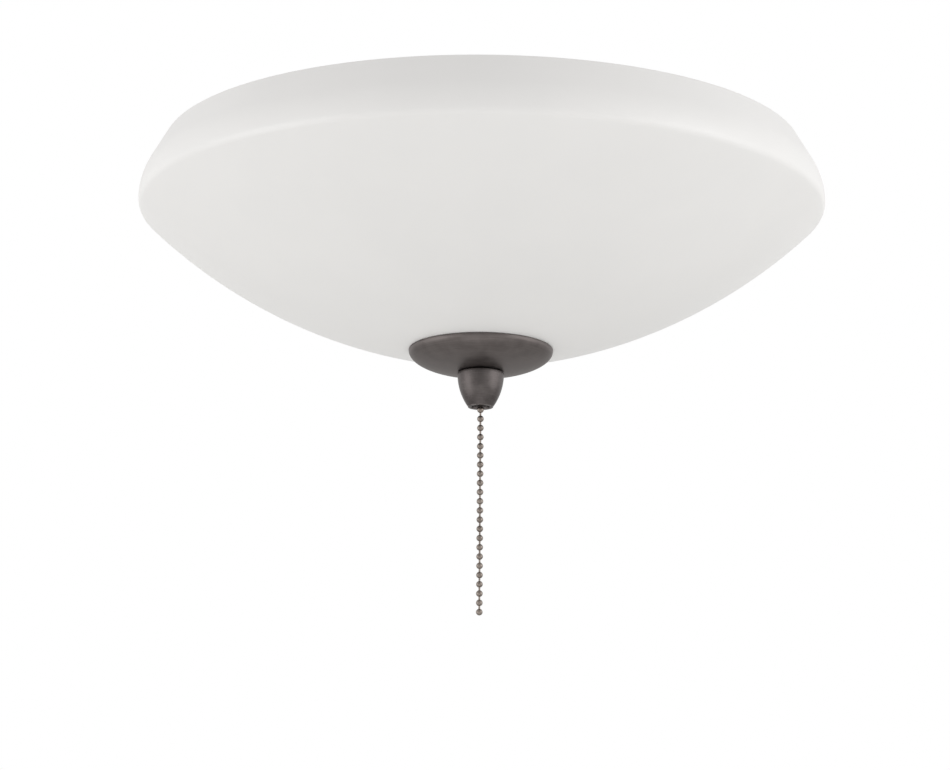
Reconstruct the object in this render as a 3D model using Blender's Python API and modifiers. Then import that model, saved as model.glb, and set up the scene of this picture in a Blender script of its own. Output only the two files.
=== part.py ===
"""Ceiling fan light kit: an opal glass bowl carried on a hollow centre rod by a dished cap and a finial,
with a ball chain that runs up through the rod to a pull switch.

Metres, +Z up. The origin is the centre of the flat face that meets the fan. Everything hangs below it.
"""

import math

import bmesh
import bpy
from mathutils import Matrix, Vector

# Fits
GAP = 0.0003                    # between pieces that touch
CUT_OVERRUN = 0.002             # how far a cutter runs past what it cuts
MERGE_DISTANCE = 0.000001

# Glass bowl
BOWL_DIAMETER = 0.330           # at the crease
BOWL_RIM_INSET = 0.0118         # the rim stands in from the crease by this
BOWL_RIM_DIAMETER = BOWL_DIAMETER - BOWL_RIM_INSET * 2
BOWL_BELOW_FACE = 0.026         # rim below the face that meets the fan
BOWL_WALL = 0.0036
BAND_TILT = math.radians(30.5)  # the upper band leans in by this from the vertical
SHOULDER_RADIUS = 0.027         # from the band round to the crease
CREASE_RADIUS = 0.0053
CREASE_TURN = math.radians(46)  # from the vertical to the start of the lower bowl
BOWL_ARC_RADIUS = 0.258         # lower bowl
BOWL_HOLE_DIAMETER = 0.013
BOWL_SEAT_DIAMETER = 0.028      # ground flat round the hole

# Centre rod and its hardware
ROD_DIAMETER = 0.0097
ROD_BORE = 0.0064
ROD_EDGE = 0.0004
ROD_NUT_ACROSS = 0.0175
ROD_NUT_HEIGHT = 0.0045
ROD_ABOVE_NUT = 0.0005
LOCK_WASHER_DIAMETER = 0.018
LOCK_WASHER_SHEET = 0.0012
STOP_WASHER_DIAMETER = 0.026
STOP_WASHER_SHEET = 0.0012
GLASS_WASHER_DIAMETER = 0.026
GLASS_WASHER_SHEET = 0.002
BUSHING_FLANGE_SHEET = 0.002

# Cap
CAP_DIAMETER = 0.069
CAP_DEPTH = 0.0112
CAP_SHEET = 0.0009
CAP_EDGE = 0.0006               # plain band at the rim
CAP_FLAT_DIAMETER = 0.018

# Finial
FINIAL_DIAMETER = 0.0222
FINIAL_HEIGHT = 0.0167
FINIAL_ARC_RADIUS = 0.028
FINIAL_EDGE = 0.0007
FINIAL_MOUTH = 0.0091
FINIAL_MOUTH_DEPTH = 0.0022
FINIAL_THROAT = 0.0076
FINIAL_WASHER_DIAMETER = 0.0172
FINIAL_WASHER_SHEET = 0.0006
ROD_IN_FINIAL = 0.0105

# Ball chain
BEAD_DIAMETER = 0.0032
BEAD_PITCH = 0.004464
CHAIN_LINK_DIAMETER = 0.0009
CHAIN_BELOW_FINIAL = 0.0993     # lowest bead's centre below the finial

# Housing that meets the fan
CUP_DIAMETER = 0.100
CUP_SHEET = 0.0012
CUP_CORNER = 0.006
CUP_FLANGE_WIDTH = 0.010
INLET_DIAMETER = 0.017
INLET_BORE = 0.013
INLET_FLANGE = 0.021
INLET_FLANGE_SHEET = 0.0012
INLET_LENGTH = 0.004
KEYHOLE_INSET = 0.012           # the slots' ends from the housing's outside
KEYHOLE_CIRCLE = CUP_DIAMETER - KEYHOLE_INSET * 2
KEYHOLE_HEAD = 0.009
KEYHOLE_SLOT = 0.0048
KEYHOLE_LENGTH = 0.008          # centre of the wide end to the centre of the slot's end
KEYHOLE_COUNT = 3

# Reflector pan
PAN_SHEET = 0.001
PAN_FLOOR_MARGIN = 0.004        # flat floor round the housing
PAN_FLOOR_DIAMETER = CUP_DIAMETER + PAN_FLOOR_MARGIN * 2
PAN_FLOOR_BELOW_RIM = 0.0223
PAN_RIM_CLEARANCE = 0.005       # to the glass all round
PAN_EDGE_BELOW_RIM = 0.0015
PAN_LIP = 0.006
PAN_CORNER = 0.003
VENT_DIAMETER = 0.008
VENT_INSET = 0.035              # from the pan's edge to the vents' centres
VENT_COUNT = 8
VENT_TURN = math.radians(11)    # of the first vent from +X

# Small screws
SCREW_DIAMETER = 0.003
SCREW_HEAD = 0.0062
SCREW_HEAD_HEIGHT = 0.002
SCREW_LENGTH = 0.007
PAN_SCREW_INSET = 0.006         # from the housing's outside
PAN_SCREW_CIRCLE = CUP_DIAMETER - PAN_SCREW_INSET * 2
PAN_SCREW_COUNT = 3

# Pull switch
SWITCH_WALL = 0.0015
SWITCH_DEPTH = 0.010            # inside, front to back
SWITCH_BEVEL = 0.0008
SWITCH_HEADROOM = 0.0015
SWITCH_CLEARANCE = 0.0005       # beside the slide
NECK_DIAMETER = 0.0078
NECK_BORE = 0.005
NECK_FLANGE = 0.0094
NECK_FLANGE_SHEET = 0.0008
NECK_ABOVE_ROD = 0.0005
NECK_BELOW_NUT = 0.0004
NECK_NUT_ACROSS = 0.0125
NECK_NUT_HEIGHT = 0.0024
BRACKET_SHEET = 0.0015
BRACKET_WIDTH = 0.016
BRACKET_SPAN = 0.028            # between the legs
BRACKET_FOOT = 0.0085
SPRING_LENGTH = 0.010
SPRING_DIAMETER = 0.0058        # at the middle of the wire
SPRING_WIRE = 0.00045
SPRING_TURNS = 3                # open turns, with a closed one at each end
SLIDER_WIDTH = 0.009
SLIDER_HEIGHT = 0.0063
SLIDER_SEAT_SHEET = 0.0007
CHAIN_SLOT_WIDTH = 0.0015
BEAD_CLEARANCE = 0.00028
PAWL_REACH = 0.0012
PAWL_DROP = 0.001
PAWL_THICKNESS = 0.0023
PAWL_WIDTH = 0.003
PAWL_BITE = 0.0007              # how far it reaches over a tooth
WHEEL_DIAMETER = 0.0092
WHEEL_ROOT = 0.0052
WHEEL_WIDTH = 0.003
WHEEL_TEETH = 4
TOOTH_THICKNESS = 0.0018
ROTOR_HUB = 0.004
ROTOR_SHAFT = 0.0032
ROTOR_CLEARANCE = 0.0015        # from the rotor to the case's side wall
ROTOR_PLATE_SHEET = 0.0015
ROTOR_PLATE_LENGTH = 0.0088
ROTOR_PLATE_WIDTH = 0.0064
CONTACT_SHEET = 0.0005
CONTACT_WIDTH = 0.003
CONTACT_TAB = 0.0035            # outside the case
CONTACT_LIFT = 0.0009           # how far the free end bends away

# Lamps and lamp holders, one each side
LAMP_BELOW_PAN = 0.0155         # lamp axis below the underside of the pan
LAMP_BRACKET_WIDTH = 0.016
LAMP_BRACKET_SPAN = 0.0285      # between the legs
LAMP_BRACKET_LEG = 0.009        # below the lamp axis
HOLDER_DIAMETER = 0.022
HOLDER_LENGTH = 0.0295
HOLDER_CAVITY = 0.0150
HOLDER_CAVITY_DEPTH = 0.0186
HOLDER_BACK_DIAMETER = 0.017
HOLDER_BACK_LENGTH = 0.0015
HOLDER_RECESS_LENGTH = 0.0072
HOLDER_RECESS_WIDTH = 0.0092
HOLDER_RECESS_DEPTH = 0.0045
HOLDER_SCREW_LENGTH = 0.006
SHELL_DIAMETER = 0.0134
SHELL_SHEET = 0.0004
SHELL_LENGTH = 0.0165
SHELL_LIP = 0.0004
SHELL_FLOOR_HOLE = 0.0086
TONGUE_WIDTH = 0.0042
TONGUE_SHEET = 0.0004
TONGUE_LENGTH = 0.007
TONGUE_RISE = 0.0012
BASE_DIAMETER = 0.0119
BASE_SHELL_LENGTH = 0.014
BASE_TIP_DIAMETER = 0.0048
BASE_TIP_LENGTH = 0.0032
BASE_FLARE = 0.0136
BASE_FLARE_LENGTH = 0.0024
LAMP_GLASS_DIAMETER = 0.035
LAMP_TIP_CLEARANCE = 0.0214     # from the lamp's tip to the bowl
LAMP_NECK_DIAMETER = 0.0112
LAMP_GLASS_WALL = 0.0008
LAMP_NECK_IN_BASE = 0.006

# Leads, grommets and wire connectors
LEAD_DIAMETER = 0.0022
LEAD_PAIR = 0.0044              # between the two leads of a pair
LEAD_IN_RECESS = 0.003
GROMMET_OUT = 0.0235            # from the axis
GROMMET_HOLE = 0.0126
GROMMET_BORE = 0.0076
GROMMET_FLANGE = 0.0144
GROMMET_FLANGE_SHEET = 0.0012
NUT_LENGTH = 0.020
NUT_MOUTH = 0.012
NUT_TIP = 0.007
NUT_WALL = 0.0013
NUT_CAVITY = 0.015
NUT_CLEARANCE = 0.001           # from the connectors to the housing's flange
NUT_OUT = CUP_DIAMETER / 2 - CUP_FLANGE_WIDTH - NUT_CLEARANCE - NUT_MOUTH / 2
LEADS_IN_NUT = 0.009
LEAD_ARCH = 0.007               # how far the leads rise over a connector's mouth
SUPPLY_NUT_ANGLE = math.radians(50)
LIVE_NUT_ANGLE = math.radians(130)
NEUTRAL_NUT_ANGLE = math.radians(-90)
LEAD_ROUTES = {                 # the free run of each lead, between its two ends
    "lead_live_a": ((0.0230, 0.0060, -0.0420), (0.0175, 0.0120, -0.0385), (0.0080, 0.0185, -0.0355),
                    (-0.0040, 0.0205, -0.0300), (-0.0130, 0.0210, -0.0215)),
    "lead_live_b": ((-0.0245, 0.0050, -0.0415), (-0.0285, 0.0120, -0.0330), (-0.0300, 0.0190, -0.0225)),
    "lead_neutral_a": ((0.0245, -0.0060, -0.0415), (0.0215, -0.0165, -0.0330), (0.0120, -0.0290, -0.0210)),
    "lead_neutral_b": ((-0.0245, -0.0060, -0.0415), (-0.0215, -0.0165, -0.0330), (-0.0120, -0.0290, -0.0210)),
    "lead_switch_in": ((0.0290, 0.0060, -0.0180), (0.0310, 0.0150, -0.0165), (0.0280, 0.0215, -0.0185)),
    "lead_switch_out": ((0.0275, 0.0050, -0.0270), (0.0220, 0.0135, -0.0210), (0.0090, 0.0230, -0.0175),
                        (-0.0080, 0.0310, -0.0165), (-0.0190, 0.0325, -0.0185)),
}

# Facets
BOWL_STEPS = 32
CAP_STEPS = 24
FINIAL_STEPS = 18
ROUND_STEPS = 12
SMALL_STEPS = 8
SCREW_STEPS = 6
BEAD_STEPS = 6


# The scene, its collections and the materials


def clear_scene():
    for found in list(bpy.data.objects):
        bpy.data.objects.remove(found, do_unlink=True)


def new_collection(name):
    made = bpy.data.collections.new(name)
    bpy.context.scene.collection.children.link(made)
    return made


clear_scene()
KIT = new_collection("ceiling_fan_light_kit")
CUTTERS = new_collection("cutters")
CUTTERS.hide_render = True


def surface(name, colour, roughness, metallic=0.0):
    made = bpy.data.materials.new(name)
    made.use_nodes = True
    shader = made.node_tree.nodes["Principled BSDF"]
    shader.inputs["Base Color"].default_value = (*colour, 1.0)
    shader.inputs["Roughness"].default_value = roughness
    shader.inputs["Metallic"].default_value = metallic
    made.diffuse_color = (*colour, 1.0)
    return made


LOOKS = {
    "opal_glass": ((0.86, 0.86, 0.85), 0.12, 0.0),
    "dark_pewter": ((0.12, 0.11, 0.10), 0.36, 1.0),
    "chain_metal": ((0.42, 0.39, 0.35), 0.28, 1.0),
    "white_paint": ((0.82, 0.82, 0.80), 0.35, 0.0),
    "zinc_steel": ((0.58, 0.58, 0.57), 0.34, 1.0),
    "brass": ((0.68, 0.50, 0.22), 0.30, 1.0),
    "black_rubber": ((0.03, 0.03, 0.03), 0.75, 0.0),
    "black_moulding": ((0.04, 0.04, 0.04), 0.45, 0.0),
    "porcelain": ((0.88, 0.87, 0.84), 0.15, 0.0),
    "lamp_glass": ((0.93, 0.93, 0.91), 0.2, 0.0),
    "lead_black": ((0.03, 0.03, 0.03), 0.5, 0.0),
    "lead_white": ((0.8, 0.8, 0.78), 0.5, 0.0),
    "nylon": ((0.75, 0.73, 0.66), 0.5, 0.0),
}


def place(obj, look, parent=None):
    """Puts a finished object in the kit, with its own material and under its empty."""
    for holder in list(obj.users_collection):
        holder.objects.unlink(obj)
    KIT.objects.link(obj)
    if obj.data.materials:
        obj.data.materials.clear()
    obj.data.materials.append(surface(obj.name, *LOOKS[look]))
    if parent is not None:
        obj.parent = parent
        obj.matrix_parent_inverse = Matrix.Translation(parent.location).inverted()
    return obj


def axis_empty(name, location, parent=None):
    made = bpy.data.objects.new(name, None)
    KIT.objects.link(made)
    made.location = location
    made.empty_display_size = BOWL_WALL
    if parent is not None:
        made.parent = parent
        made.matrix_parent_inverse = Matrix.Translation(parent.location).inverted()
    return made


# Outlines


def arc(centre, radius, start, end, pieces):
    """Points round part of a circle, both ends included."""
    turn = (end - start) / pieces
    return [
        (centre[0] + radius * math.cos(start + turn * i), centre[1] + radius * math.sin(start + turn * i))
        for i in range(pieces + 1)
    ]


def offset_path(path, distance):
    """The open path moved sideways, to its right when distance is above zero, with mitred corners."""
    moved = []
    for i, point in enumerate(path):
        here = Vector(point)
        normals = []
        for a, b in ((i - 1, i), (i, i + 1)):
            if a < 0 or b >= len(path):
                continue
            along = (Vector(path[b]) - Vector(path[a])).normalized()
            normals.append(Vector((along.y, -along.x)))
        middle = sum(normals, Vector((0.0, 0.0))).normalized()
        moved.append(tuple(here + middle * (distance / middle.dot(normals[0]))))
    return moved


def sheet_outline(path, thickness):
    """A closed outline: the path, then the same path moved to its right, back to the start."""
    return path + offset_path(path, thickness)[::-1]


def circle(radius, steps):
    """A full circle whose corners straddle the axes."""
    half_step = math.pi / steps
    return arc((0.0, 0.0), radius, half_step, math.tau - half_step, steps - 1)


def hexagon(across):
    return circle(across / math.sqrt(3), 6)


def rounded_rectangle(low, high, radius, pieces=3):
    (x0, y0), (x1, y1) = low, high
    quarter = math.pi / 2
    corners = ((x1 - radius, y1 - radius), (x0 + radius, y1 - radius),
               (x0 + radius, y0 + radius), (x1 - radius, y0 + radius))
    points = []
    for i, corner in enumerate(corners):
        points += arc(corner, radius, quarter * i, quarter * (i + 1), pieces)
    return points


# Solids


def smooth(obj, angle=math.radians(35)):
    obj.data.shade_smooth()
    obj.data.set_sharp_from_angle(angle=angle)


def turned(name, profile, steps, look, location=(0.0, 0.0, 0.0), closed=True, turn=None, parent=None):
    """A profile of (radius, height) points, run down its outer side, turned about its own Z."""
    mesh = bpy.data.meshes.new(name)
    edges = [(i, i + 1) for i in range(len(profile) - 1)]
    if closed:
        edges.append((len(profile) - 1, 0))
    mesh.from_pydata([(r, 0.0, z) for r, z in profile], edges, [])
    obj = bpy.data.objects.new(name, mesh)
    obj.location = location
    if turn is not None:
        obj.rotation_euler = turn
    screw = obj.modifiers.new("turn", "SCREW")
    screw.steps = screw.render_steps = steps
    screw.use_merge_vertices = True
    screw.merge_threshold = MERGE_DISTANCE
    screw.use_smooth_shade = True
    return place(obj, look, parent)


def outline_mesh(name, outlines, depth):
    """A flat outline, with any holes after it, given its depth along its own Z, about the middle."""
    curve = bpy.data.curves.new(name, "CURVE")
    curve.dimensions = "2D"
    curve.fill_mode = "BOTH"
    curve.extrude = depth / 2
    for points in outlines:
        spline = curve.splines.new("POLY")
        spline.points.add(len(points) - 1)
        for point, (x, y) in zip(spline.points, points):
            point.co = (x, y, 0.0, 1.0)
        spline.use_cyclic_u = True
    drawn = bpy.data.objects.new(name + "_outline", curve)
    bpy.context.scene.collection.objects.link(drawn)
    graph = bpy.context.evaluated_depsgraph_get()
    mesh = bpy.data.meshes.new_from_object(drawn.evaluated_get(graph))
    mesh.name = name
    bpy.data.objects.remove(drawn)
    bpy.data.curves.remove(curve)
    weld(mesh)
    return mesh


def weld(mesh):
    shape = bmesh.new()
    shape.from_mesh(mesh)
    bmesh.ops.remove_doubles(shape, verts=shape.verts, dist=MERGE_DISTANCE)
    bmesh.ops.recalc_face_normals(shape, faces=shape.faces)
    shape.to_mesh(mesh)
    shape.free()


def cut_from(outlines, depth, name, look, location=(0.0, 0.0, 0.0), turn=(0.0, 0.0, 0.0), parent=None):
    """A piece cut from sheet or bar."""
    obj = bpy.data.objects.new(name, outline_mesh(name, outlines, depth))
    obj.location = location
    obj.rotation_euler = turn
    return place(obj, look, parent)


def cutter(name, mesh, location, turn=(0.0, 0.0, 0.0)):
    obj = bpy.data.objects.new(name, mesh)
    obj.location = location
    obj.rotation_euler = turn
    obj.display_type = "WIRE"
    obj.hide_render = True
    CUTTERS.objects.link(obj)
    return obj


def round_cutter(name, radius, length, location, turn=(0.0, 0.0, 0.0), steps=SMALL_STEPS):
    return cutter(name, outline_mesh(name, [circle(radius, steps)], length), location, turn)


def box_mesh(name, low, high):
    mesh = outline_mesh(name, [[(low[0], low[1]), (high[0], low[1]), (high[0], high[1]), (low[0], high[1])]],
                        high[2] - low[2])
    mesh.transform(Matrix.Translation((0.0, 0.0, (low[2] + high[2]) / 2)))
    return mesh


def boolean(obj, other, operation="DIFFERENCE"):
    made = obj.modifiers.new(operation.lower() + "_" + other.name, "BOOLEAN")
    made.operation = operation
    made.solver = "EXACT"
    made.object = other


def wire(name, route, diameter, look, parent=None, rounding=1):
    """A round wire along a smooth curve through the route's points."""
    curve = bpy.data.curves.new(name, "CURVE")
    curve.dimensions = "3D"
    curve.bevel_depth = diameter / 2
    curve.bevel_resolution = rounding
    curve.use_fill_caps = True
    spline = curve.splines.new("POLY")
    spline.points.add(len(route) - 1)
    for point, place_at in zip(spline.points, route):
        point.co = (*place_at, 1.0)
    return place(bpy.data.objects.new(name, curve), look, parent)


def through(points, pieces=2):
    """A smooth curve through the points: each span is a cubic that leans on its neighbours."""
    points = [Vector(p) for p in points]
    ends = [points[0] * 2 - points[1]] + points + [points[-1] * 2 - points[-2]]
    route = [points[0]]
    for a, b, c, d in zip(ends, ends[1:], ends[2:], ends[3:]):
        for step in range(1, pieces + 1):
            t = step / pieces
            route.append(((b * 2) + (c - a) * t + (a * 2 - b * 5 + c * 4 - d) * t ** 2
                          + (b * 3 - a - c * 3 + d) * t ** 3) / 2)
    return route


# Places down the centre line, from the face that meets the fan

RIM_Z = -BOWL_BELOW_FACE
PAN_FLOOR_Z = RIM_Z - PAN_FLOOR_BELOW_RIM
PAN_UNDER_Z = PAN_FLOOR_Z - PAN_SHEET
CUP_BOTTOM_Z = PAN_FLOOR_Z + GAP
LOCK_WASHER_Z = PAN_FLOOR_Z + GAP
ROD_NUT_Z = LOCK_WASHER_Z + LOCK_WASHER_SHEET + GAP
ROD_TOP_Z = ROD_NUT_Z + ROD_NUT_HEIGHT + ROD_ABOVE_NUT
NECK_BOTTOM_Z = ROD_TOP_Z + NECK_ABOVE_ROD
NECK_NUT_Z = NECK_BOTTOM_Z + NECK_BELOW_NUT
BRACKET_UNDER_Z = NECK_NUT_Z + NECK_NUT_HEIGHT + GAP
SWITCH_UNDER_Z = BRACKET_UNDER_Z + BRACKET_SHEET + GAP
SWITCH_FLOOR_Z = SWITCH_UNDER_Z + SWITCH_WALL
NECK_FLANGE_Z = SWITCH_FLOOR_Z + GAP
SPRING_Z = NECK_FLANGE_Z + NECK_FLANGE_SHEET + GAP
SLIDER_Z = SPRING_Z + SPRING_LENGTH + GAP
SWITCH_ROOF_Z = SLIDER_Z + SLIDER_HEIGHT + SWITCH_HEADROOM
SWITCH_TOP_Z = SWITCH_ROOF_Z + SWITCH_WALL
LAMP_Z = PAN_UNDER_Z - LAMP_BELOW_PAN
LAMP_BRACKET_Z = PAN_UNDER_Z - GAP
ROD_LOW_NUT_Z = LAMP_BRACKET_Z - BRACKET_SHEET - GAP - ROD_NUT_HEIGHT
ROD_CLEAR = ROD_DIAMETER / 2 + GAP


# Glass bowl

def bowl_path(shoulder_pieces, crease_pieces, lower_pieces):
    """The bowl's outside as (radius, height below the rim), from the rim to the edge of the ground flat."""
    widest = BOWL_DIAMETER / 2
    shoulder = arc((widest - SHOULDER_RADIUS, 0.0), SHOULDER_RADIUS, BAND_TILT, 0.0, shoulder_pieces)
    band_drop = (shoulder[0][0] - BOWL_RIM_DIAMETER / 2) / math.tan(BAND_TILT)
    crease = arc((widest - CREASE_RADIUS, 0.0), CREASE_RADIUS, 0.0, -CREASE_TURN, crease_pieces)[1:]
    slope = math.pi / 2 - CREASE_TURN
    r, z = crease[-1]
    centre = (r - BOWL_ARC_RADIUS * math.sin(slope), z + BOWL_ARC_RADIUS * math.cos(slope))
    seat = math.asin((BOWL_SEAT_DIAMETER / 2 - centre[0]) / BOWL_ARC_RADIUS)
    lower = arc(centre, BOWL_ARC_RADIUS, slope - math.pi / 2, seat - math.pi / 2, lower_pieces)[1:]
    points = [(BOWL_RIM_DIAMETER / 2, shoulder[0][1] + band_drop)] + shoulder + crease + lower
    return [(r, z - points[0][1]) for r, z in points]


def radius_at(path, height):
    """How wide a path is where it passes a height on its way down."""
    for (r0, z0), (r1, z1) in zip(path, path[1:]):
        if z1 <= height <= z0:
            return r0 + (r1 - r0) * (height - z0) / (z1 - z0)
    return path[-1][0]


def height_at(path, radius):
    """Where the lower part of a path passes a radius."""
    for (r0, z0), (r1, z1) in zip(path[::-1], path[-2::-1]):
        if r0 <= radius <= r1:
            return z0 + (z1 - z0) * (radius - r0) / (r1 - r0)
    return path[-1][1]


BOWL_OUTSIDE = bowl_path(3, 3, 6)
BOWL_INSIDE = offset_path(bowl_path(2, 1, 4), BOWL_WALL)
BOWL_BOTTOM_Z = RIM_Z + BOWL_OUTSIDE[-1][1]
BOWL_FLOOR_Z = RIM_Z + BOWL_INSIDE[-1][1]


def rounded_rim(outside, inside):
    """A fire-polished edge between the two walls."""
    (r0, z0), (r1, z1) = inside[0], outside[0]
    middle = ((r0 + r1) / 2, (z0 + z1) / 2)
    radius = math.hypot(r1 - r0, z1 - z0) / 2
    start = math.atan2(z0 - middle[1], r0 - middle[0])
    return arc(middle, radius, start, start - math.pi, 2)[1:-1]


BOWL_DROP = axis_empty("bowl_drop_axis", (0.0, 0.0, RIM_Z))


def make_bowl():
    hole = BOWL_HOLE_DIAMETER / 2
    outside = BOWL_OUTSIDE + [(hole, BOWL_OUTSIDE[-1][1])]
    inside = BOWL_INSIDE + [(hole, BOWL_INSIDE[-1][1])]
    profile = rounded_rim(BOWL_OUTSIDE, BOWL_INSIDE) + outside + inside[::-1]
    turned("glass_bowl", profile, BOWL_STEPS, "opal_glass", (0.0, 0.0, RIM_Z), parent=BOWL_DROP)


def ring(name, outer, inner, low, height, look, steps=ROUND_STEPS, edge=0.0, parent=None):
    """A washer or tube standing on low, with its outer edges eased."""
    outside = [(outer - edge, height), (outer, height - edge), (outer, edge), (outer - edge, 0.0)]
    if not edge:
        outside = outside[1:3]
    return turned(name, outside + [(inner, 0.0), (inner, height)], steps, look, (0.0, 0.0, low), parent=parent)


def make_bowl_seat():
    washer_z = BOWL_FLOOR_Z + GAP
    ring("glass_washer", GLASS_WASHER_DIAMETER / 2, ROD_CLEAR, washer_z, GLASS_WASHER_SHEET, "black_rubber",
         parent=BOWL_DROP)
    stop_z = washer_z + GLASS_WASHER_SHEET + GAP
    ring("stop_washer", STOP_WASHER_DIAMETER / 2, ROD_CLEAR, stop_z, STOP_WASHER_SHEET, "zinc_steel")
    hex_nut("stop_nut", ROD_NUT_ACROSS, ROD_CLEAR, stop_z + STOP_WASHER_SHEET + GAP, ROD_NUT_HEIGHT, "zinc_steel")
    sleeve = BOWL_HOLE_DIAMETER / 2 - GAP
    flange = BOWL_SEAT_DIAMETER / 2 - GAP
    top = BOWL_FLOOR_Z - GAP - BOWL_BOTTOM_Z
    profile = [(sleeve, top), (sleeve, -GAP), (flange, -GAP), (flange, -GAP - BUSHING_FLANGE_SHEET),
               (ROD_CLEAR, -GAP - BUSHING_FLANGE_SHEET), (ROD_CLEAR, top)]
    turned("glass_bushing", profile, ROUND_STEPS, "black_rubber", (0.0, 0.0, BOWL_BOTTOM_Z), parent=BOWL_DROP)


def hex_nut(name, across, bore, low, height, look):
    """A hexagonal nut standing on low, with a clear bore."""
    return cut_from([hexagon(across), circle(bore, ROUND_STEPS)[::-1]], height, name, look,
                    (0.0, 0.0, low + height / 2))


# Cap and finial

CAP_RIM_Z = RIM_Z + height_at(BOWL_OUTSIDE, CAP_DIAMETER / 2 - CAP_SHEET) - GAP
CAP_BOTTOM_Z = CAP_RIM_Z - CAP_DEPTH
FINIAL_TOP_Z = CAP_BOTTOM_Z - GAP
FINIAL_BOTTOM_Z = FINIAL_TOP_Z - FINIAL_HEIGHT
ROD_BOTTOM_Z = FINIAL_TOP_Z - ROD_IN_FINIAL
FINIAL_RECESS = FINIAL_WASHER_SHEET + GAP
CAP_DROP = axis_empty("cap_drop_axis", (0.0, 0.0, CAP_RIM_Z), BOWL_DROP)
FINIAL_ADVANCE = axis_empty("finial_advance_axis", (0.0, 0.0, FINIAL_TOP_Z), CAP_DROP)
FINIAL_TURN = axis_empty("finial_turn_axis", (0.0, 0.0, FINIAL_TOP_Z), FINIAL_ADVANCE)


def make_cap():
    """A spun dish: a plain band, then a quarter ellipse down to a small flat, one sheet thick."""
    widest, flat = CAP_DIAMETER / 2, CAP_FLAT_DIAMETER / 2
    ease = math.acos(flat / widest)
    fall = (CAP_DEPTH - CAP_EDGE) / math.sin(ease)
    outside = [(widest, 0.0)]
    for i in range(6):
        turn = ease * i / 5
        outside.append((widest * math.cos(turn), -CAP_EDGE - fall * math.sin(turn)))
    outside.append((ROD_CLEAR, -CAP_DEPTH))
    turned("finial_cap", sheet_outline(outside, CAP_SHEET), CAP_STEPS, "dark_pewter", (0.0, 0.0, CAP_RIM_Z),
           parent=CAP_DROP)


def make_finial():
    """A bullet-shaped finial: bored for the rod, open below for the chain, recessed above for its washer."""
    widest = FINIAL_DIAMETER / 2
    length = FINIAL_HEIGHT - FINIAL_EDGE
    end = math.asin(length / FINIAL_ARC_RADIUS)
    outside = arc((widest - FINIAL_ARC_RADIUS, 0.0), FINIAL_ARC_RADIUS, 0.0, -end, 6)
    r, z = outside[-1]
    outside += [(r - FINIAL_EDGE, -FINIAL_HEIGHT)]
    mouth, throat, bore = FINIAL_MOUTH / 2, FINIAL_THROAT / 2, ROD_CLEAR
    recess = FINIAL_WASHER_DIAMETER / 2 + GAP
    bore_end = -ROD_IN_FINIAL - GAP
    inside = [(mouth, -FINIAL_HEIGHT), (throat, FINIAL_MOUTH_DEPTH - FINIAL_HEIGHT), (throat, bore_end),
              (bore, bore_end), (bore, -FINIAL_RECESS), (recess, -FINIAL_RECESS), (recess, 0.0)]
    turned("finial", outside + inside, FINIAL_STEPS, "dark_pewter", (0.0, 0.0, FINIAL_TOP_Z),
           parent=FINIAL_TURN)
    ring("finial_washer", FINIAL_WASHER_DIAMETER / 2, ROD_CLEAR, FINIAL_TOP_Z - FINIAL_WASHER_SHEET,
         FINIAL_WASHER_SHEET, "nylon", parent=FINIAL_ADVANCE)


# Centre rod

def make_rod():
    outer, inner = ROD_DIAMETER / 2, ROD_BORE / 2
    length = ROD_TOP_Z - ROD_BOTTOM_Z
    profile = [(outer - ROD_EDGE, length), (outer, length - ROD_EDGE), (outer, ROD_EDGE), (outer - ROD_EDGE, 0.0),
               (inner, 0.0), (inner, length)]
    turned("centre_rod", profile, ROUND_STEPS, "zinc_steel", (0.0, 0.0, ROD_BOTTOM_Z))
    ring("rod_lock_washer", LOCK_WASHER_DIAMETER / 2, ROD_CLEAR, LOCK_WASHER_Z, LOCK_WASHER_SHEET, "zinc_steel")
    hex_nut("rod_nut_upper", ROD_NUT_ACROSS, ROD_CLEAR, ROD_NUT_Z, ROD_NUT_HEIGHT, "zinc_steel")
    hex_nut("rod_nut_lower", ROD_NUT_ACROSS, ROD_CLEAR, ROD_LOW_NUT_Z, ROD_NUT_HEIGHT, "zinc_steel")


# Ball chain

CHAIN_PULL = axis_empty("chain_pull_axis", (0.0, 0.0, SLIDER_Z))
SEAT_BELOW_BEAD = BEAD_DIAMETER / 2 + BEAD_CLEARANCE
TOP_BEAD_Z = SLIDER_Z + SLIDER_SEAT_SHEET + SEAT_BELOW_BEAD
BEAD_COUNT = round((TOP_BEAD_Z - FINIAL_BOTTOM_Z + CHAIN_BELOW_FINIAL) / BEAD_PITCH) + 1


def make_chain():
    """Hollow balls on short wire links, turned as one run from the slide to the free end."""
    ball, link = BEAD_DIAMETER / 2, CHAIN_LINK_DIAMETER / 2
    edge = math.asin(link / ball)
    profile = []
    in_rod = int((TOP_BEAD_Z - FINIAL_BOTTOM_Z) / BEAD_PITCH)
    for i in range(BEAD_COUNT):
        spans = 2 if 0 < i < in_rod else 4
        for step in range(spans + 1):
            angle = edge + (math.pi - edge * 2) * step / spans
            profile.append((ball * math.sin(angle), ball * math.cos(angle) - BEAD_PITCH * i))
    profile = [(0.0, ball)] + profile[1:-1] + [(0.0, profile[-1][1] - ball + ball * math.cos(edge))]
    turned("pull_chain", profile, BEAD_STEPS, "chain_metal", (0.0, 0.0, TOP_BEAD_Z), closed=False,
           parent=CHAIN_PULL)


# Housing that meets the fan

def keyhole(length):
    """A round head and a narrower slot that runs out from it along +X."""
    head, slot = KEYHOLE_HEAD / 2, KEYHOLE_SLOT / 2
    opening = math.asin(slot / head)
    return arc((0.0, 0.0), head, opening, math.tau - opening, 9) + arc(
        (length, 0.0), slot, -math.pi / 2, math.pi / 2, 4)


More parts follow.
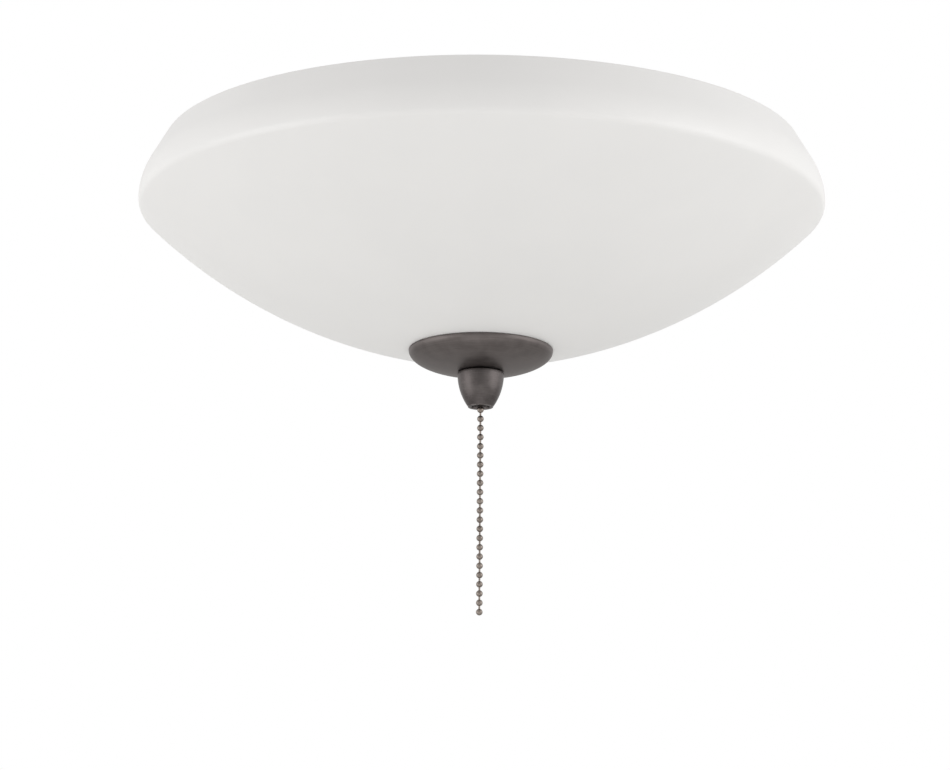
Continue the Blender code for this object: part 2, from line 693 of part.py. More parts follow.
def make_cup():
    outer, corner = CUP_DIAMETER / 2, CUP_CORNER
    path = [(INLET_DIAMETER / 2, 0.0)]
    path += arc((outer - corner, -corner), corner, math.pi / 2, 0.0, 2)
    path += [(outer, CUP_BOTTOM_Z), (outer - CUP_FLANGE_WIDTH, CUP_BOTTOM_Z)]
    cup = turned("fitter_cup", sheet_outline(path, CUP_SHEET), CAP_STEPS, "dark_pewter")
    for i in range(KEYHOLE_COUNT):
        turn = Matrix.Rotation(math.tau * (i + 0.25) / KEYHOLE_COUNT, 3, "Z")
        at = turn @ Vector((KEYHOLE_CIRCLE / 2 - KEYHOLE_LENGTH, 0.0, 0.0))
        name = f"keyhole_{i + 1}"
        shape = outline_mesh(name, [keyhole(KEYHOLE_LENGTH)], CUP_SHEET + CUT_OVERRUN)
        boolean(cup, cutter(name, shape, at, (0.0, 0.0, math.tau * (i + 0.25) / KEYHOLE_COUNT)))
    for i, at in enumerate(screw_places()):
        boolean(cup, round_cutter(f"cup_screw_hole_{i + 1}", SCREW_DIAMETER / 2 + GAP, CUP_SHEET + CUT_OVERRUN,
                                  (*at, CUP_BOTTOM_Z + CUP_SHEET / 2)))
    sleeve, flange = INLET_DIAMETER / 2 - GAP, INLET_FLANGE / 2
    under = -CUP_SHEET - GAP
    profile = [(sleeve, 0.0), (sleeve, under), (flange, under), (flange, under - INLET_FLANGE_SHEET),
               (sleeve, under - INLET_FLANGE_SHEET), (sleeve, -INLET_LENGTH), (INLET_BORE / 2, -INLET_LENGTH),
               (INLET_BORE / 2, 0.0)]
    turned("inlet_bushing", profile, ROUND_STEPS, "nylon")


def screw_places():
    places = []
    for i in range(PAN_SCREW_COUNT):
        angle = math.tau * (i + 0.75) / PAN_SCREW_COUNT
        places.append((PAN_SCREW_CIRCLE / 2 * math.cos(angle), PAN_SCREW_CIRCLE / 2 * math.sin(angle)))
    return places


def screw(name, length, location, turn, look="zinc_steel"):
    """A pan-head screw: the head sits on its own z = 0 and the shank runs down."""
    head, shank = SCREW_HEAD / 2, SCREW_DIAMETER / 2
    rise = SCREW_HEAD_HEIGHT
    dome = [(0.0, rise), (head * 0.7, rise * 0.85), (head, rise * 0.3), (head, 0.0)]
    profile = dome + [(shank, 0.0), (shank, -length), (0.0, -length)]
    return turned(name, profile, SCREW_STEPS, look, location, closed=False, turn=turn)


# Reflector pan

PAN_RADIUS = BOWL_INSIDE[0][0] - PAN_RIM_CLEARANCE
VENT_CIRCLE = (PAN_RADIUS - VENT_INSET) * 2
BRACKET_FOOT_OUT = BRACKET_SPAN / 2 + BRACKET_SHEET + BRACKET_FOOT / 2


def make_pan():
    """Spun sheet: a flat floor under the housing, a shallow cone and a turned-down lip."""
    floor = PAN_FLOOR_DIAMETER / 2
    rim_z = RIM_Z - PAN_EDGE_BELOW_RIM
    path = [(ROD_CLEAR, PAN_FLOOR_Z), (floor, PAN_FLOOR_Z), (PAN_RADIUS - PAN_CORNER, rim_z)]
    path += arc((PAN_RADIUS - PAN_CORNER, rim_z - PAN_CORNER), PAN_CORNER, math.pi / 2, 0.0, 2)[1:]
    path.append((PAN_RADIUS, rim_z - PAN_CORNER - PAN_LIP))
    pan = turned("reflector_pan", sheet_outline(path, PAN_SHEET), BOWL_STEPS, "white_paint")
    thick = PAN_SHEET + CUT_OVERRUN
    middle = PAN_FLOOR_Z - PAN_SHEET / 2
    for side, out in (("a", GROMMET_OUT), ("b", -GROMMET_OUT)):
        boolean(pan, round_cutter(f"grommet_hole_{side}", GROMMET_HOLE / 2, thick, (out, 0.0, middle),
                                  steps=ROUND_STEPS))
    holes = screw_places() + [(0.0, BRACKET_FOOT_OUT), (0.0, -BRACKET_FOOT_OUT)]
    for i, at in enumerate(holes):
        boolean(pan, round_cutter(f"pan_screw_hole_{i + 1}", SCREW_DIAMETER / 2 + GAP, thick, (*at, middle)))
    rise = (rim_z - PAN_FLOOR_Z) / (PAN_RADIUS - PAN_CORNER - floor)
    vent_z = middle + rise * (VENT_CIRCLE / 2 - floor)
    for i in range(VENT_COUNT):
        angle = math.tau * i / VENT_COUNT + VENT_TURN
        at = (VENT_CIRCLE / 2 * math.cos(angle), VENT_CIRCLE / 2 * math.sin(angle), vent_z)
        boolean(pan, round_cutter(f"vent_{i + 1:02d}", VENT_DIAMETER / 2, thick + VENT_DIAMETER, at))
    for i, at in enumerate(screw_places()):
        screw(f"pan_screw_{i + 1}", SCREW_LENGTH, (*at, PAN_UNDER_Z - GAP), (math.pi, 0.0, 0.0))


# Bracket that carries the pull switch, over the rod's nut

def strip(name, path, sheet, width, look, location=(0.0, 0.0, 0.0), turn=(0.0, 0.0, 0.0)):
    """A bent strip: the path is one face seen from the side."""
    return cut_from([sheet_outline(path, sheet)], width, name, look, location, turn)


def make_switch_bracket():
    """A bridge of bent strip, standing on two screwed feet."""
    top = BRACKET_UNDER_Z + BRACKET_SHEET
    leg, foot = BRACKET_SPAN / 2 + BRACKET_SHEET, PAN_FLOOR_Z + GAP + BRACKET_SHEET
    path = [(-leg - BRACKET_FOOT, foot), (-leg, foot), (-leg, top), (leg, top), (leg, foot),
            (leg + BRACKET_FOOT, foot)]
    bracket = strip("switch_bracket", path, BRACKET_SHEET, BRACKET_WIDTH, "zinc_steel",
                    turn=(math.pi / 2, 0.0, math.pi / 2))
    thick = BRACKET_SHEET + CUT_OVERRUN
    boolean(bracket, round_cutter("neck_hole", NECK_DIAMETER / 2 + GAP, thick,
                                  (0.0, 0.0, top - BRACKET_SHEET / 2), steps=ROUND_STEPS))
    for i, side in enumerate((1, -1)):
        at = (0.0, side * BRACKET_FOOT_OUT, foot)
        boolean(bracket, round_cutter(f"foot_hole_{i + 1}", SCREW_DIAMETER / 2 + GAP, thick + BRACKET_SHEET, at))
        screw(f"bracket_screw_{i + 1}", SCREW_LENGTH, (at[0], at[1], foot + GAP), (0.0, 0.0, 0.0))


# Pull switch

SLIDER_HALF = SLIDER_WIDTH / 2
SWITCH_LEFT = -SLIDER_HALF - SWITCH_CLEARANCE
WHEEL_X = SLIDER_HALF + PAWL_REACH - PAWL_BITE + WHEEL_DIAMETER / 2
WHEEL_Z = SLIDER_Z - PAWL_DROP - GAP - TOOTH_THICKNESS / 2
SWITCH_RIGHT = WHEEL_X + WHEEL_DIAMETER / 2 + ROTOR_CLEARANCE
SWITCH_BACK = -SWITCH_DEPTH / 2
SWITCH_FRONT = SWITCH_DEPTH / 2
WHEEL_Y = -PAWL_WIDTH / 2 - GAP
PLATE_Y = WHEEL_Y + WHEEL_WIDTH / 2 + GAP + ROTOR_PLATE_SHEET
CONTACT_OFF = ROTOR_PLATE_LENGTH / 2 + GAP
SIDE_ON = (math.pi / 2, 0.0, 0.0)     # an outline drawn as seen from the front


def make_switch_case():
    wall = SWITCH_WALL
    outer = rounded_rectangle((SWITCH_LEFT - wall, SWITCH_UNDER_Z), (SWITCH_RIGHT + wall, SWITCH_TOP_Z),
                              SWITCH_BEVEL)
    middle_y = (SWITCH_FRONT + SWITCH_BACK - wall) / 2
    depth = SWITCH_FRONT - SWITCH_BACK + wall
    case = cut_from([outer], depth, "switch_body", "black_moulding", (0.0, middle_y, 0.0), SIDE_ON)
    room = box_mesh("switch_room", (SWITCH_LEFT, SWITCH_BACK, SWITCH_FLOOR_Z),
                    (SWITCH_RIGHT, SWITCH_FRONT + CUT_OVERRUN, SWITCH_ROOF_Z))
    boolean(case, cutter("switch_room", room, (0.0, 0.0, 0.0)))
    boolean(case, round_cutter("case_neck_hole", NECK_DIAMETER / 2 + GAP, wall + CUT_OVERRUN,
                               (0.0, 0.0, SWITCH_FLOOR_Z - wall / 2), steps=ROUND_STEPS))
    bearing = ROTOR_SHAFT / 2 + GAP
    boolean(case, round_cutter("case_bearing", bearing, wall + CUT_OVERRUN,
                               (WHEEL_X, SWITCH_BACK - wall / 2, WHEEL_Z), SIDE_ON, ROUND_STEPS))
    half = CONTACT_WIDTH / 2 + GAP
    for name, z in (("live_slot", contact_z(1)), ("load_slot", contact_z(-1))):
        slot = box_mesh(name, (SWITCH_RIGHT - CUT_OVERRUN, PLATE_Y - half, z - CONTACT_SHEET / 2 - GAP),
                        (SWITCH_RIGHT + wall + CUT_OVERRUN, PLATE_Y + half, z + CONTACT_SHEET / 2 + GAP))
        boolean(case, cutter(name, slot, (0.0, 0.0, 0.0)))
    hole = [(WHEEL_X + x, WHEEL_Z + z) for x, z in circle(bearing, ROUND_STEPS)][::-1]
    cut_from([outer, hole], wall, "switch_cover", "black_moulding",
             (0.0, SWITCH_FRONT + GAP + wall / 2, 0.0), SIDE_ON)
    neck, bore, flange = NECK_DIAMETER / 2, NECK_BORE / 2, NECK_FLANGE / 2
    top = NECK_FLANGE_Z + NECK_FLANGE_SHEET - NECK_BOTTOM_Z
    under = NECK_FLANGE_Z - NECK_BOTTOM_Z
    turned("switch_neck", [(flange, top), (flange, under), (neck, under), (neck, 0.0), (bore, 0.0), (bore, top)],
           ROUND_STEPS, "brass", (0.0, 0.0, NECK_BOTTOM_Z))
    hex_nut("neck_nut", NECK_NUT_ACROSS, neck + GAP, NECK_NUT_Z, NECK_NUT_HEIGHT, "brass")


def contact_z(side):
    """Middle of a contact strip: one lies over the rotor plate, the other under it."""
    return WHEEL_Z + side * (CONTACT_OFF + CONTACT_SHEET / 2)


def make_contacts():
    for name, side in (("contact_live", 1), ("contact_load", -1)):
        z = contact_z(side)
        tab = SWITCH_RIGHT + SWITCH_WALL + CONTACT_TAB
        rest = WHEEL_X - ROTOR_HUB / 4
        tip = rest - CONTACT_LIFT * 2
        path = [(tab, z - CONTACT_SHEET / 2), (rest, z - CONTACT_SHEET / 2),
                (tip, z - CONTACT_SHEET / 2 + side * CONTACT_LIFT)]
        strip(name, path, CONTACT_SHEET, CONTACT_WIDTH, "brass", (0.0, PLATE_Y, 0.0), SIDE_ON)


ROTOR_AXIS = axis_empty("ratchet_turn_axis", (WHEEL_X, 0.0, WHEEL_Z))


def ratchet_outline():
    """Hooked teeth: a straight driving face, a narrow land and a long sloping back."""
    tip, root, half = WHEEL_DIAMETER / 2, WHEEL_ROOT / 2, TOOTH_THICKNESS / 2
    land = math.sqrt(tip ** 2 - half ** 2)
    inner = math.sqrt(root ** 2 - half ** 2)
    points = []
    for tooth in range(WHEEL_TEETH):
        turn = Matrix.Rotation(math.tau * tooth / WHEEL_TEETH, 2)
        pitch = math.tau / WHEEL_TEETH
        back = [(root * math.cos(a), root * math.sin(a)) for a in (-pitch * 0.62, -pitch * 0.45)]
        for x, y in back + [(land * 0.97, -half / 2), (land, half), (inner, half)]:
            points.append(tuple(turn @ Vector((x, y))))
    return points


def make_rotor():
    """The ratchet wheel, its hub and its shaft, moulded as one, with the contact plate on the hub."""
    shaft_long = SWITCH_FRONT - SWITCH_BACK + SWITCH_WALL * 2
    at = (WHEEL_X, 0.0, WHEEL_Z)
    wheel_mesh = outline_mesh("ratchet_rotor", [[(-x, y) for x, y in ratchet_outline()][::-1]], WHEEL_WIDTH)
    wheel_mesh.transform(Matrix.Translation((0.0, 0.0, -WHEEL_Y)))
    rotor = bpy.data.objects.new("ratchet_rotor", wheel_mesh)
    rotor.location = at
    rotor.rotation_euler = SIDE_ON
    place(rotor, "nylon", ROTOR_AXIS)
    hub_front = PLATE_Y + ROTOR_PLATE_SHEET / 2 + GAP
    hub_long = hub_front - WHEEL_Y
    hub = round_cutter("rotor_hub", ROTOR_HUB / 2, hub_long, (WHEEL_X, WHEEL_Y + hub_long / 2, WHEEL_Z), SIDE_ON,
                       ROUND_STEPS)
    shaft = round_cutter("rotor_shaft", ROTOR_SHAFT / 2, shaft_long, at, SIDE_ON, ROUND_STEPS)
    boolean(rotor, hub, "UNION")
    boolean(rotor, shaft, "UNION")
    long, wide = ROTOR_PLATE_LENGTH / 2, ROTOR_PLATE_WIDTH / 2
    spread = math.asin(wide * 0.8 / long)
    plate = arc((0.0, 0.0), long, math.pi / 2 - spread, math.pi / 2 + spread, 5) + [(-wide, 0.0)]
    plate += [(-x, -y) for x, y in plate]
    bore = circle(ROTOR_HUB / 2 + GAP, ROUND_STEPS)[::-1]
    cut_from([plate, bore], ROTOR_PLATE_SHEET, "rotor_contact", "brass", (WHEEL_X, PLATE_Y, WHEEL_Z), SIDE_ON,
             parent=ROTOR_AXIS)


def make_slider():
    """The slide: a block with a pocket for the chain's top ball, open on one side, and a pawl at its foot."""
    low, high = (-SLIDER_HALF, -SLIDER_HALF, 0.0), (SLIDER_HALF, SLIDER_HALF, SLIDER_HEIGHT)
    slider = bpy.data.objects.new("pull_slider", box_mesh("pull_slider", low, high))
    slider.location = (0.0, 0.0, SLIDER_Z)
    place(slider, "nylon", CHAIN_PULL)
    beside_spring = SPRING_DIAMETER / 2 + SPRING_WIRE
    pawl = box_mesh("pawl", (beside_spring, WHEEL_Y - PAWL_WIDTH / 2, -PAWL_DROP),
                    (SLIDER_HALF + PAWL_REACH, WHEEL_Y + PAWL_WIDTH / 2, PAWL_THICKNESS - PAWL_DROP))
    boolean(slider, cutter("pawl", pawl, (0.0, 0.0, SLIDER_Z)), "UNION")
    ball = BEAD_DIAMETER / 2 + GAP
    seat = SLIDER_Z + SLIDER_SEAT_SHEET
    roof = TOP_BEAD_Z + SEAT_BELOW_BEAD
    out = -SLIDER_HALF - CUT_OVERRUN
    pocket = outline_mesh("ball_pocket", [slot_outline(ball, out)], roof - seat)
    boolean(slider, cutter("ball_pocket", pocket, (0.0, 0.0, (roof + seat) / 2)))
    slot = outline_mesh("link_slot", [slot_outline(CHAIN_SLOT_WIDTH / 2, out)], SLIDER_SEAT_SHEET + CUT_OVERRUN)
    boolean(slider, cutter("link_slot", slot, (0.0, 0.0, SLIDER_Z + SLIDER_SEAT_SHEET / 2)))


def slot_outline(radius, out):
    """A round end on the axis and straight sides out along -X."""
    return arc((0.0, 0.0), radius, -math.pi / 2, math.pi / 2, 6) + [(out, radius), (out, -radius)]


def make_spring():
    """A compression spring between the neck and the slide, its end turns closed up."""
    wire_radius = SPRING_WIRE / 2
    rise = SPRING_LENGTH - SPRING_WIRE
    per_turn = 8
    turns = SPRING_TURNS + 2
    route = []
    for i in range(turns * per_turn + 1):
        turn = i / per_turn
        closed = SPRING_WIRE * 1.1
        middle = min(max(turn - 1, 0), SPRING_TURNS) / SPRING_TURNS
        ends = min(turn, 1) + min(max(turn - 1 - SPRING_TURNS, 0), 1)
        z = wire_radius + closed * ends + (rise - closed * 2) * middle
        angle = math.tau * turn
        route.append((SPRING_DIAMETER / 2 * math.cos(angle), SPRING_DIAMETER / 2 * math.sin(angle), SPRING_Z + z))
    wire("return_spring", route, SPRING_WIRE, "zinc_steel", CHAIN_PULL, rounding=0)


# Lamp bracket, holders and lamps

HOLDER_BACK = LAMP_BRACKET_SPAN / 2 + BRACKET_SHEET + GAP
HOLDER_MOUTH = HOLDER_BACK + HOLDER_LENGTH
CAVITY_BACK = HOLDER_MOUTH - HOLDER_CAVITY_DEPTH
LAMP_BACK = CAVITY_BACK + TONGUE_SHEET + TONGUE_RISE + GAP * 3
LAMP_GLASS_BACK = LAMP_BACK + BASE_TIP_LENGTH + BASE_SHELL_LENGTH + BASE_FLARE_LENGTH
LAMP_GLASS_LENGTH = radius_at(BOWL_INSIDE, LAMP_Z - RIM_Z) - LAMP_TIP_CLEARANCE - LAMP_GLASS_BACK
SIDES = (("a", 1), ("b", -1))
FROM_ABOVE = Matrix(((0, 1, 0), (0, 0, 1), (1, 0, 0))).to_euler()    # an outline of (along Y, along X) points


def make_lamp_bracket():
    """One strip bent down at each end, clamped under the pan by the rod's lower nut."""
    leg = LAMP_BRACKET_SPAN / 2 + BRACKET_SHEET
    low = LAMP_Z - LAMP_BRACKET_LEG
    path = [(-leg, low), (-leg, LAMP_BRACKET_Z), (leg, LAMP_BRACKET_Z), (leg, low)]
    bracket = strip("lamp_bracket", path, BRACKET_SHEET, LAMP_BRACKET_WIDTH, "zinc_steel", turn=SIDE_ON)
    thick = BRACKET_SHEET + CUT_OVERRUN
    boolean(bracket, round_cutter("rod_hole", ROD_CLEAR, thick, (0.0, 0.0, LAMP_BRACKET_Z - BRACKET_SHEET / 2),
                                  steps=ROUND_STEPS))
    for name, side in SIDES:
        at = (side * (leg - BRACKET_SHEET / 2), 0.0, LAMP_Z)
        boolean(bracket, round_cutter(f"leg_hole_{name}", SCREW_DIAMETER / 2 + GAP, thick, at,
                                      (0.0, math.pi / 2, 0.0)))


def outward(side):
    """Turns a piece's own +Z to point out along +X or -X."""
    return (0.0, side * math.pi / 2, 0.0)


def make_holder(name, side):
    """Porcelain body with a screw shell, a contact tongue and the screw that fastens it to the bracket."""
    at = (side * HOLDER_BACK, 0.0, LAMP_Z)
    outer, back, cavity = HOLDER_DIAMETER / 2, HOLDER_BACK_DIAMETER / 2, HOLDER_CAVITY / 2
    floor = HOLDER_LENGTH - HOLDER_CAVITY_DEPTH
    hole = SCREW_DIAMETER / 2 + GAP
    depth = HOLDER_SCREW_LENGTH
    edge = HOLDER_BACK_LENGTH / 2
    profile = [(outer - edge, HOLDER_LENGTH), (outer, HOLDER_LENGTH - edge),
               (outer, HOLDER_BACK_LENGTH + outer - back), (back, HOLDER_BACK_LENGTH), (back, 0.0), (hole, 0.0),
               (hole, depth), (0.0, depth)]
    inside = [(0.0, floor), (cavity, floor), (cavity, HOLDER_LENGTH)]
    outline = inside + profile
    holder = turned(f"lamp_holder_{name}", outline, ROUND_STEPS, "porcelain", at, closed=False,
                    turn=outward(side))
    recess_x = (GROMMET_OUT - HOLDER_RECESS_LENGTH / 2, GROMMET_OUT + HOLDER_RECESS_LENGTH / 2)
    recess = box_mesh(f"recess_{name}", (min(side * x for x in recess_x), -HOLDER_RECESS_WIDTH / 2,
                                         LAMP_Z + outer - HOLDER_RECESS_DEPTH),
                      (max(side * x for x in recess_x), HOLDER_RECESS_WIDTH / 2, LAMP_Z + outer + CUT_OVERRUN))
    boolean(holder, cutter(f"recess_{name}", recess, (0.0, 0.0, 0.0)))
    shell, sheet = SHELL_DIAMETER / 2, SHELL_SHEET
    path = [(SHELL_FLOOR_HOLE / 2, 0.0), (shell, 0.0), (shell, SHELL_LENGTH), (shell + SHELL_LIP, SHELL_LENGTH)]
    turned(f"screw_shell_{name}", sheet_outline(path[::-1], sheet), ROUND_STEPS, "brass",
           (side * (CAVITY_BACK + TONGUE_SHEET + GAP * 2), 0.0, LAMP_Z), turn=outward(side))
    reach = CAVITY_BACK + GAP
    half = TONGUE_LENGTH / 2
    path = [(-half, 0.0), (-half * 0.2, 0.0), (half * 0.7, TONGUE_RISE)]
    tongue = sheet_outline([(x, y + TONGUE_SHEET) for x, y in path], TONGUE_SHEET)
    tongue = [(x, side * (reach + y)) for x, y in tongue]
    cut_from([tongue[::side]], TONGUE_WIDTH, f"centre_contact_{name}", "brass", (0.0, 0.0, LAMP_Z), FROM_ABOVE)
    screw(f"holder_screw_{name}", HOLDER_SCREW_LENGTH,
          (side * (LAMP_BRACKET_SPAN / 2 - GAP), 0.0, LAMP_Z), outward(-side))


def lamp_glass_outside():
    """A pointed lamp: a neck, a belly and a drawn-out tip, as (radius, distance from the base's rim)."""
    neck, belly, length = LAMP_NECK_DIAMETER / 2, LAMP_GLASS_DIAMETER / 2, LAMP_GLASS_LENGTH
    points = []
    for i in range(9):
        along = i / 8
        swell = math.sin(math.pi * along ** 0.62) ** 1.25
        points.append((neck * (1 - along) ** 0.5 * (1 - swell) + belly * swell, length * along))
    points[-1] = (0.0, length)
    return points


def make_lamp(name, side):
    """A candelabra lamp: a glass envelope whose neck sits in a threaded metal base."""
    at = (side * LAMP_BACK, 0.0, LAMP_Z)
    axis = axis_empty(f"lamp_{name}_axis", at)
    tip, shell, flare = BASE_TIP_DIAMETER / 2, BASE_DIAMETER / 2, BASE_FLARE / 2
    top = BASE_TIP_LENGTH + BASE_SHELL_LENGTH
    rim = top + BASE_FLARE_LENGTH
    neck = LAMP_NECK_DIAMETER / 2
    bottom = rim - LAMP_NECK_IN_BASE - GAP
    profile = [(0.0, bottom), (neck + GAP, bottom), (neck + GAP, rim), (flare, rim), (shell, top),
               (shell, BASE_TIP_LENGTH), (tip * 1.3, BASE_TIP_LENGTH * 0.4), (tip, 0.0), (0.0, 0.0)]
    turned(f"lamp_base_{name}", profile, ROUND_STEPS, "brass", at, closed=False, turn=outward(side), parent=axis)
    outside = [(r, z + rim) for r, z in lamp_glass_outside()]
    outside[0] = (neck, rim)
    outside = [(neck, rim - LAMP_NECK_IN_BASE)] + outside
    inside = offset_path(outside[:-1], -LAMP_GLASS_WALL)[::2]
    inside.append((0.0, outside[-1][1] - LAMP_GLASS_WALL * 2))
    turned(f"lamp_glass_{name}", outside[::-1] + inside, ROUND_STEPS, "lamp_glass", at, closed=False,
           turn=outward(side), parent=axis)


# Grommets, leads and wire connectors

def make_grommet(name, side):
    hole, bore, flange = GROMMET_HOLE / 2 - GAP, GROMMET_BORE / 2, GROMMET_FLANGE / 2
    sheet = GROMMET_FLANGE_SHEET
    low, high = -PAN_SHEET - GAP, GAP
    profile = [(flange, high + sheet), (flange, high), (hole, high), (hole, low), (flange, low),
               (flange, low - sheet), (bore, low - sheet), (bore, high + sheet)]
    turned(f"pan_grommet_{name}", profile, ROUND_STEPS, "black_rubber", (side * GROMMET_OUT, 0.0, PAN_FLOOR_Z))


def nut_place(angle):
    return Vector((NUT_OUT * math.cos(angle), NUT_OUT * math.sin(angle), PAN_FLOOR_Z + GAP))


def make_wire_nut(name, angle):
    mouth, tip, wall = NUT_MOUTH / 2, NUT_TIP / 2, NUT_WALL
    profile = [(mouth - wall, NUT_LENGTH), (mouth, NUT_LENGTH), (mouth, NUT_LENGTH * 0.6), (tip, wall / 2),
               (tip - wall / 2, 0.0), (0.0, 0.0)]
    inside = [(0.0, NUT_LENGTH - NUT_CAVITY), (tip - wall, NUT_LENGTH - NUT_CAVITY),
              (mouth - wall, NUT_LENGTH * 0.6)]
    turned(name, inside + profile, ROUND_STEPS, "black_moulding", nut_place(angle), closed=False)


def into_nut(angle, facing):
    """The last points of a lead: over the connector's mouth on the side it comes from, then down into it."""
    out = Vector((math.cos(facing), math.sin(facing), 0.0))
    up = Vector((0.0, 0.0, 1.0))
    mouth = nut_place(angle) + up * NUT_LENGTH + out * (LEAD_DIAMETER * 0.66)
    return [mouth + out * (LEAD_ARCH * 0.35) + up * LEAD_ARCH, mouth + up * (LEAD_ARCH * 0.4), mouth,
            mouth - up * LEADS_IN_NUT]


def make_leads():
    """A live and a neutral lead up from each lamp, and the two leads of the switch."""
    bottom = LAMP_Z + HOLDER_DIAMETER / 2 - LEAD_IN_RECESS
    tab_x = SWITCH_RIGHT + SWITCH_WALL + CONTACT_TAB + GAP
    lamp_leads = (("live_a", 1, 1, LIVE_NUT_ANGLE, -30), ("live_b", -1, 1, LIVE_NUT_ANGLE, 210),
                  ("neutral_a", 1, -1, NEUTRAL_NUT_ANGLE, 0), ("neutral_b", -1, -1, NEUTRAL_NUT_ANGLE, 180))
    for kind, side, across, angle, facing in lamp_leads:
        name = f"lead_{kind}"
        start = Vector((side * GROMMET_OUT, across * LEAD_PAIR / 2, bottom))
        in_grommet = Vector((start.x, start.y, PAN_FLOOR_Z))
        above = in_grommet + Vector((0.0, 0.0, GROMMET_FLANGE_SHEET * 2))
        route = [start, in_grommet, above, *LEAD_ROUTES[name], *into_nut(angle, math.radians(facing))]
        wire(name, through(route), LEAD_DIAMETER, "lead_black" if across > 0 else "lead_white")
    for kind, side, angle, facing in (("switch_in", 1, SUPPLY_NUT_ANGLE, -30), ("switch_out", -1, LIVE_NUT_ANGLE, 90)):
        name = f"lead_{kind}"
        start = Vector((tab_x, PLATE_Y, contact_z(side)))
        straight = start + Vector((LEAD_DIAMETER * 2, 0.0, 0.0))
        route = [start, straight, *LEAD_ROUTES[name], *into_nut(angle, math.radians(facing))]
        wire(name, through(route), LEAD_DIAMETER, "lead_black")


# The whole kit

make_bowl()
make_bowl_seat()
make_cap()
make_finial()
make_rod()
make_chain()
make_cup()
make_pan()
make_switch_bracket()
make_switch_case()
make_contacts()
make_rotor()
make_slider()
make_spring()
make_lamp_bracket()
for which, way in SIDES:
    make_holder(which, way)
    make_lamp(which, way)
    make_grommet(which, way)
for connector, bearing_angle in (("wire_nut_supply", SUPPLY_NUT_ANGLE), ("wire_nut_live", LIVE_NUT_ANGLE),
                                 ("wire_nut_neutral", NEUTRAL_NUT_ANGLE)):
    make_wire_nut(connector, bearing_angle)
make_leads()
for piece in KIT.objects:
    if piece.type == "MESH":
        smooth(piece)
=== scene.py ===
import math

import bmesh
import bpy
from mathutils import Matrix, Vector


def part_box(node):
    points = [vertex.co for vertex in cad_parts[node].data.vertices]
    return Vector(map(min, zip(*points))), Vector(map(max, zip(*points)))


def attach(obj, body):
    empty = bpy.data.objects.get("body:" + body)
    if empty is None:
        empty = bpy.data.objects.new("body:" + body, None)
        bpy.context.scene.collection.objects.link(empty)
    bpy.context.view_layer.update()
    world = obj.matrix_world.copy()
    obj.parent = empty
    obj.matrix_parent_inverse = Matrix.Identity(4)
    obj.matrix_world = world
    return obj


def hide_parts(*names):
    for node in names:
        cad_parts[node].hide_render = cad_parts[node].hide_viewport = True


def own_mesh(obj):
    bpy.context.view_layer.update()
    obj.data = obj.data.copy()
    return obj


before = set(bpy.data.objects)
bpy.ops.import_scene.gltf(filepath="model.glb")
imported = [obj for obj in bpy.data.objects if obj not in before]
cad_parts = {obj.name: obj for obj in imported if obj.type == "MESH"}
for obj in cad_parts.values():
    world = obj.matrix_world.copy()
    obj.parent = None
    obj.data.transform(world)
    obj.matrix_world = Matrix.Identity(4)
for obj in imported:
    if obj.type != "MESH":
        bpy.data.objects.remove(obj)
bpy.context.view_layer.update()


# The room: a photographer's white surround, brightest to the left and right and weaker from above and from
# the camera's side, with three soft panels.

stage_scene = bpy.context.scene
stage_scene.view_settings.view_transform = "Standard"


def put(tree, kind, feeds, **settings):
    """Adds a shader node. A feed that is a socket is linked, and any other value is set."""
    made = tree.nodes.new("ShaderNode" + kind)
    for name, value in settings.items():
        setattr(made, name, value)
    for name, value in feeds.items():
        if isinstance(value, bpy.types.NodeSocket):
            tree.links.new(value, made.inputs[name])
        else:
            made.inputs[name].default_value = value
    return made


surround = bpy.data.worlds.new("white_surround")
surround.use_nodes = True
stage_scene.world = surround
tree = surround.node_tree
tree.nodes.clear()
way = put(tree, "SeparateXYZ", {0: put(tree, "TexCoord", {}).outputs["Generated"]})
sideways = put(tree, "Math", {0: way.outputs["X"]}, operation="ABSOLUTE").outputs[0]
behind = put(tree, "MapRange", {"Value": way.outputs["Y"], "From Min": -1.0, "From Max": 0.6,
                                "To Min": 0.59, "To Max": 0.85}).outputs[0]
above = put(tree, "MapRange", {"Value": way.outputs["Z"], "From Min": -0.3, "From Max": 1.0,
                               "To Min": 1.0, "To Max": 0.8}).outputs[0]
lit = put(tree, "Math", {0: behind, 1: above}, operation="MULTIPLY").outputs[0]
lit = put(tree, "Math", {0: sideways, 1: 0.44, 2: lit}, operation="MULTIPLY_ADD").outputs[0]
glow = put(tree, "Background", {"Color": (1.0, 0.995, 0.985, 1.0), "Strength": lit}).outputs[0]
paper = put(tree, "Background", {"Color": (1.0, 1.0, 1.0, 1.0), "Strength": 1.0}).outputs[0]
seen = put(tree, "LightPath", {}).outputs["Is Camera Ray"]
both = put(tree, "MixShader", {0: seen, 1: glow, 2: paper}).outputs[0]
put(tree, "OutputWorld", {"Surface": both})

